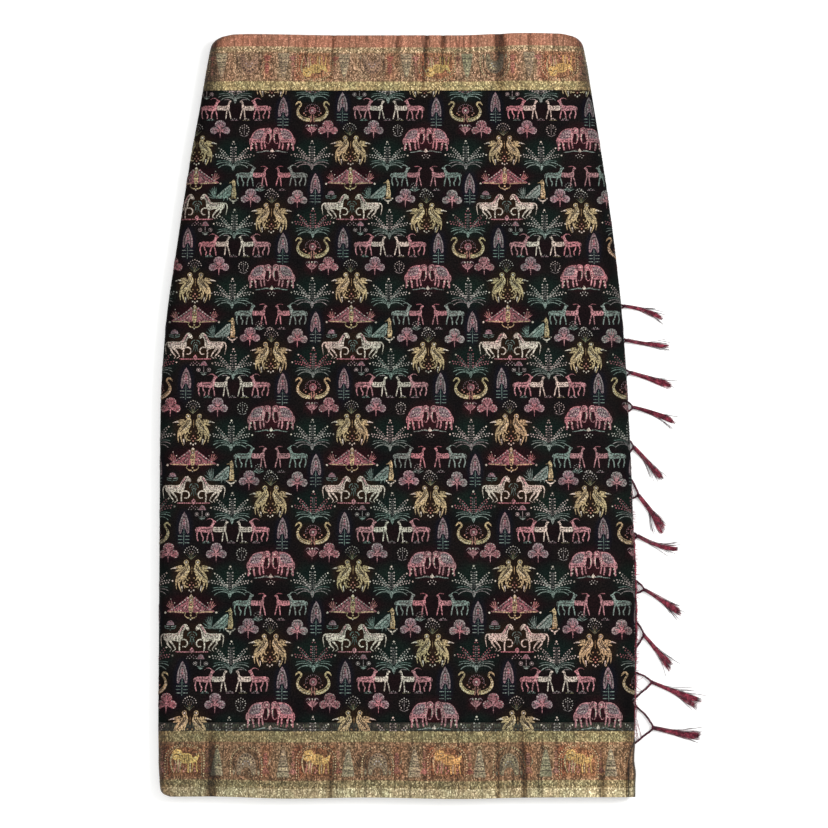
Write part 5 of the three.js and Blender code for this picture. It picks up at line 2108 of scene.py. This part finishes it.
def leg_paths(chance, legs, knot):
    """Three strands twisted together along each leg."""
    paths = []
    for y, bow in zip(legs, LEG_BOW):
        length = math.dist((float(cut_edge(y)), y), knot)
        t = np.linspace(0, 1, max(8, int(length / 1.4)))
        line = leg_line(y, knot, bow, t)
        line[:, 1] += 0.5 * np.sin(t * 9 + 6 * chance.random()) * np.sin(math.pi * t)
        ahead = line[-1] - line[0]
        aside = np.array([-ahead[1], ahead[0], 0.0])
        aside /= np.linalg.norm(aside)
        for start in (0, 2.1, 4.2):
            turn = 2 * math.pi * t * length / LEG_TURN + start
            offset = aside * (LEG_TWIST[0] * np.cos(turn))[:, None]
            offset[:, 2] += LEG_TWIST[1] * np.sin(turn)
            paths.append((line + offset, 2.8 + 0.5 * np.sin(5 * t + 6 * chance.random())))
    return paths


print("legs:", 2 * len(TASSELS))

# %% [markdown]
# The knot is a few turns of yarn, widest in the middle, over a bundle of thick threads that fills it.

# %% Wind the knots
KNOT_RADIUS = 2.7
KNOT_RINGS = [(-2.6, 0.62), (-1.6, 0.92), (-0.6, 1.0), (0.4, 0.98), (1.4, 0.84), (2.4, 0.66)]
KNOT_REACH = 3  # of its filling, to both sides
KNOT_CORES = 7


def knot_paths(knot, ahead, aside):
    """Yarn wound round the head of the tassel, and a filling of short thick threads."""
    middle = np.array([*knot, KNOT_HIGH])
    paths = []
    turn = np.linspace(0, 2 * math.pi, 13)
    for back, share in KNOT_RINGS:
        ring = np.cos(turn)[:, None] * aside + np.sin(turn)[:, None] * np.array([0, 0, 0.92])
        slant = ahead * (0.5 * np.sin(turn / 2))[:, None]
        paths.append((middle + ahead * back + ring * (KNOT_RADIUS - 0.5) * share + slant, 1.8))
    for angle in np.arange(KNOT_CORES) * 2 * math.pi / KNOT_CORES:
        shift = (aside * math.cos(angle) + np.array([0, 0, 1]) * math.sin(angle)) * 0.9
        reach = ahead * KNOT_REACH
        paths.append((np.array([middle - reach + shift * 0.5, middle + shift, middle + reach + shift]), 2.6))
    return paths


print("rings in a knot:", len(KNOT_RINGS))

# %% [markdown]
# A skirt's threads start inside the knot, sink to the surface, sway with their tassel and end unevenly.
# Silk clings together in locks, so each thread follows one of a few. Some threads stray from the skirt,
# and a few loose ends cross the loop between the legs.

# %% Threads of the skirts and of the loops
SKIRT_THREADS = 90
STRAY_THREADS = 8
STRAY_THICKER = 1.4
NET_THREADS = 9
LOCKS = 7
THREAD_POINTS = 10
LOWEST_THREAD = 0.35


def skirt_paths(chance, knot, tip, sway, spread, split, count, stray=False):
    """Threads of the skirt, in locks that lean and end on their own. Strays leave it on both sides."""
    run = np.array(tip, float) - np.array(knot, float)
    ahead = run / np.hypot(*run)
    aside = np.array([-ahead[1], ahead[0]])
    t = np.linspace(0, 1, THREAD_POINTS)
    lean = chance.normal(0, 0.75, LOCKS)
    short = 0.2 * chance.random(LOCKS) ** 1.5
    paths = []
    for _ in range(count):
        lock = chance.integers(LOCKS)
        start = chance.normal(0, 1.0)
        level = chance.random()
        reach = 1.06 - short[lock] - 0.12 * chance.random() ** 2
        opened = 1 + (spread - 1) * smooth(t) + 0.1 * t
        away = lean[lock] * spread * t**1.5 + split * (1 if lock % 2 else -1) * smooth((t - 0.45) / 0.55)
        if stray:
            away = away + chance.choice([-1, 1]) * (4 + 8 * chance.random()) * t**2.2
            reach = 0.78 + 0.36 * chance.random()
        ripple = 0.35 * np.sin(t * (4 + 5 * chance.random()) + 6.3 * chance.random()) * t
        across = start * opened + sway * 4 * t * reach * (1 - t * reach) + away + ripple
        flat = np.array(knot) + run * (t * reach)[:, None] + aside * across[:, None]
        low = LOWEST_THREAD + THREAD_RADIUS + 2.3 * level * (1 - 0.55 * t)
        high = KNOT_HIGH + 1.5 * (level - 0.5)
        z = high + (low - high) * smooth(t / 0.35)
        paths.append((np.column_stack([flat, z]), np.where(t == 1, 0.5, 1.0)))
    return paths


def net_paths(chance, legs, knot):
    """Loose ends that cross the loop between the bound edge and the two legs."""
    paths = []
    t = np.linspace(0, 1, 7)
    for _ in range(NET_THREADS):
        y = legs[1] + (legs[0] - legs[1]) * chance.random()
        root = np.array([float(cut_edge(y)) - 0.6, y, 1.3])
        side = chance.integers(2)
        end = leg_line(legs[side], knot, LEG_BOW[side], np.array([0.1 + 0.5 * chance.random() ** 1.5]))[0]
        path = root + (end - root) * t[:, None]
        path[:, 0] += 1.4 * chance.normal() * np.sin(math.pi * t)
        path[:, 1] += 1.4 * chance.normal() * np.sin(2 * math.pi * t)
        path[:, 2] = 0.5 + np.abs(t - 0.5) * 1.4
        paths.append((path, 1.0))
    return paths


print("threads in a skirt:", SKIRT_THREADS, "and", STRAY_THREADS, "that stray")


# %% Make the tassels
def tassel(number, legs, knot, tip, sway, spread, split):
    """The pieces of one tassel. Its number seeds its chances."""
    chance = np.random.default_rng(100 + number)
    run = np.array([tip[0] - knot[0], tip[1] - knot[1], 0.0])
    ahead = run / np.linalg.norm(run)
    aside = np.array([-ahead[1], ahead[0], 0.0])
    lay = (knot, tip, sway, spread, split)
    skirt = skirt_paths(chance, *lay, SKIRT_THREADS)
    head = knot_paths(knot, ahead, aside) + leg_paths(chance, legs, knot)
    loose = skirt_paths(chance, *lay, STRAY_THREADS, stray=True)
    loops = net_paths(chance, legs, knot)
    return (
        spun(f"yarn_tassel_{number:02d}", skirt, THREAD_RADIUS, maroon_yarn),
        spun(f"knot_and_legs_{number:02d}", head, THREAD_RADIUS, dark_yarn),
        spun(f"stray_threads_{number:02d}", loose, THREAD_RADIUS * STRAY_THICKER, stray_yarn, THIN_SIDES),
        spun(f"loop_threads_{number:02d}", loops, THREAD_RADIUS, pale_yarn, THIN_SIDES),
    )


tassels = [tassel(i + 1, *row) for i, row in enumerate(TASSELS)]
print("faces of one tassel:", len(tassels[0][0].data.polygons))

# %% [markdown]
# ## Bodies
# The saree has no joints, so every piece rides on the one body. Each main piece stands for its CAD
# solid, which is hidden.

# %% Hide the CAD solids and put every piece on the body
for piece, solid, slot in (
    (field_cloth, "front_field", "field_brocade"),
    (upper_cloth, "upper_border", "gold_border"),
    (lower_cloth, "lower_border", "gold_border"),
    (next_layer, "second_layer", "gold_border"),
    (inner_folds, "folded_layers", "field_brocade"),
    (end_cloth, "end_panel", "field_brocade"),
    (edge_cord, "end_heading", "maroon_silk"),
):
    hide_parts(solid)
    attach(piece, "root")
for i, parts in enumerate(tassels):
    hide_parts(f"tassel_{i + 1:02d}")
    for piece in parts:
        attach(piece, "root")
for piece, slot in (
    *[(piece, "field_brocade") for piece in FIGURE_PIECES],
    (upper_figures, "gold_border"),
    (lower_figures, "gold_border"),
    (edge_strays, "maroon_silk"),
):
    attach(piece, "root")
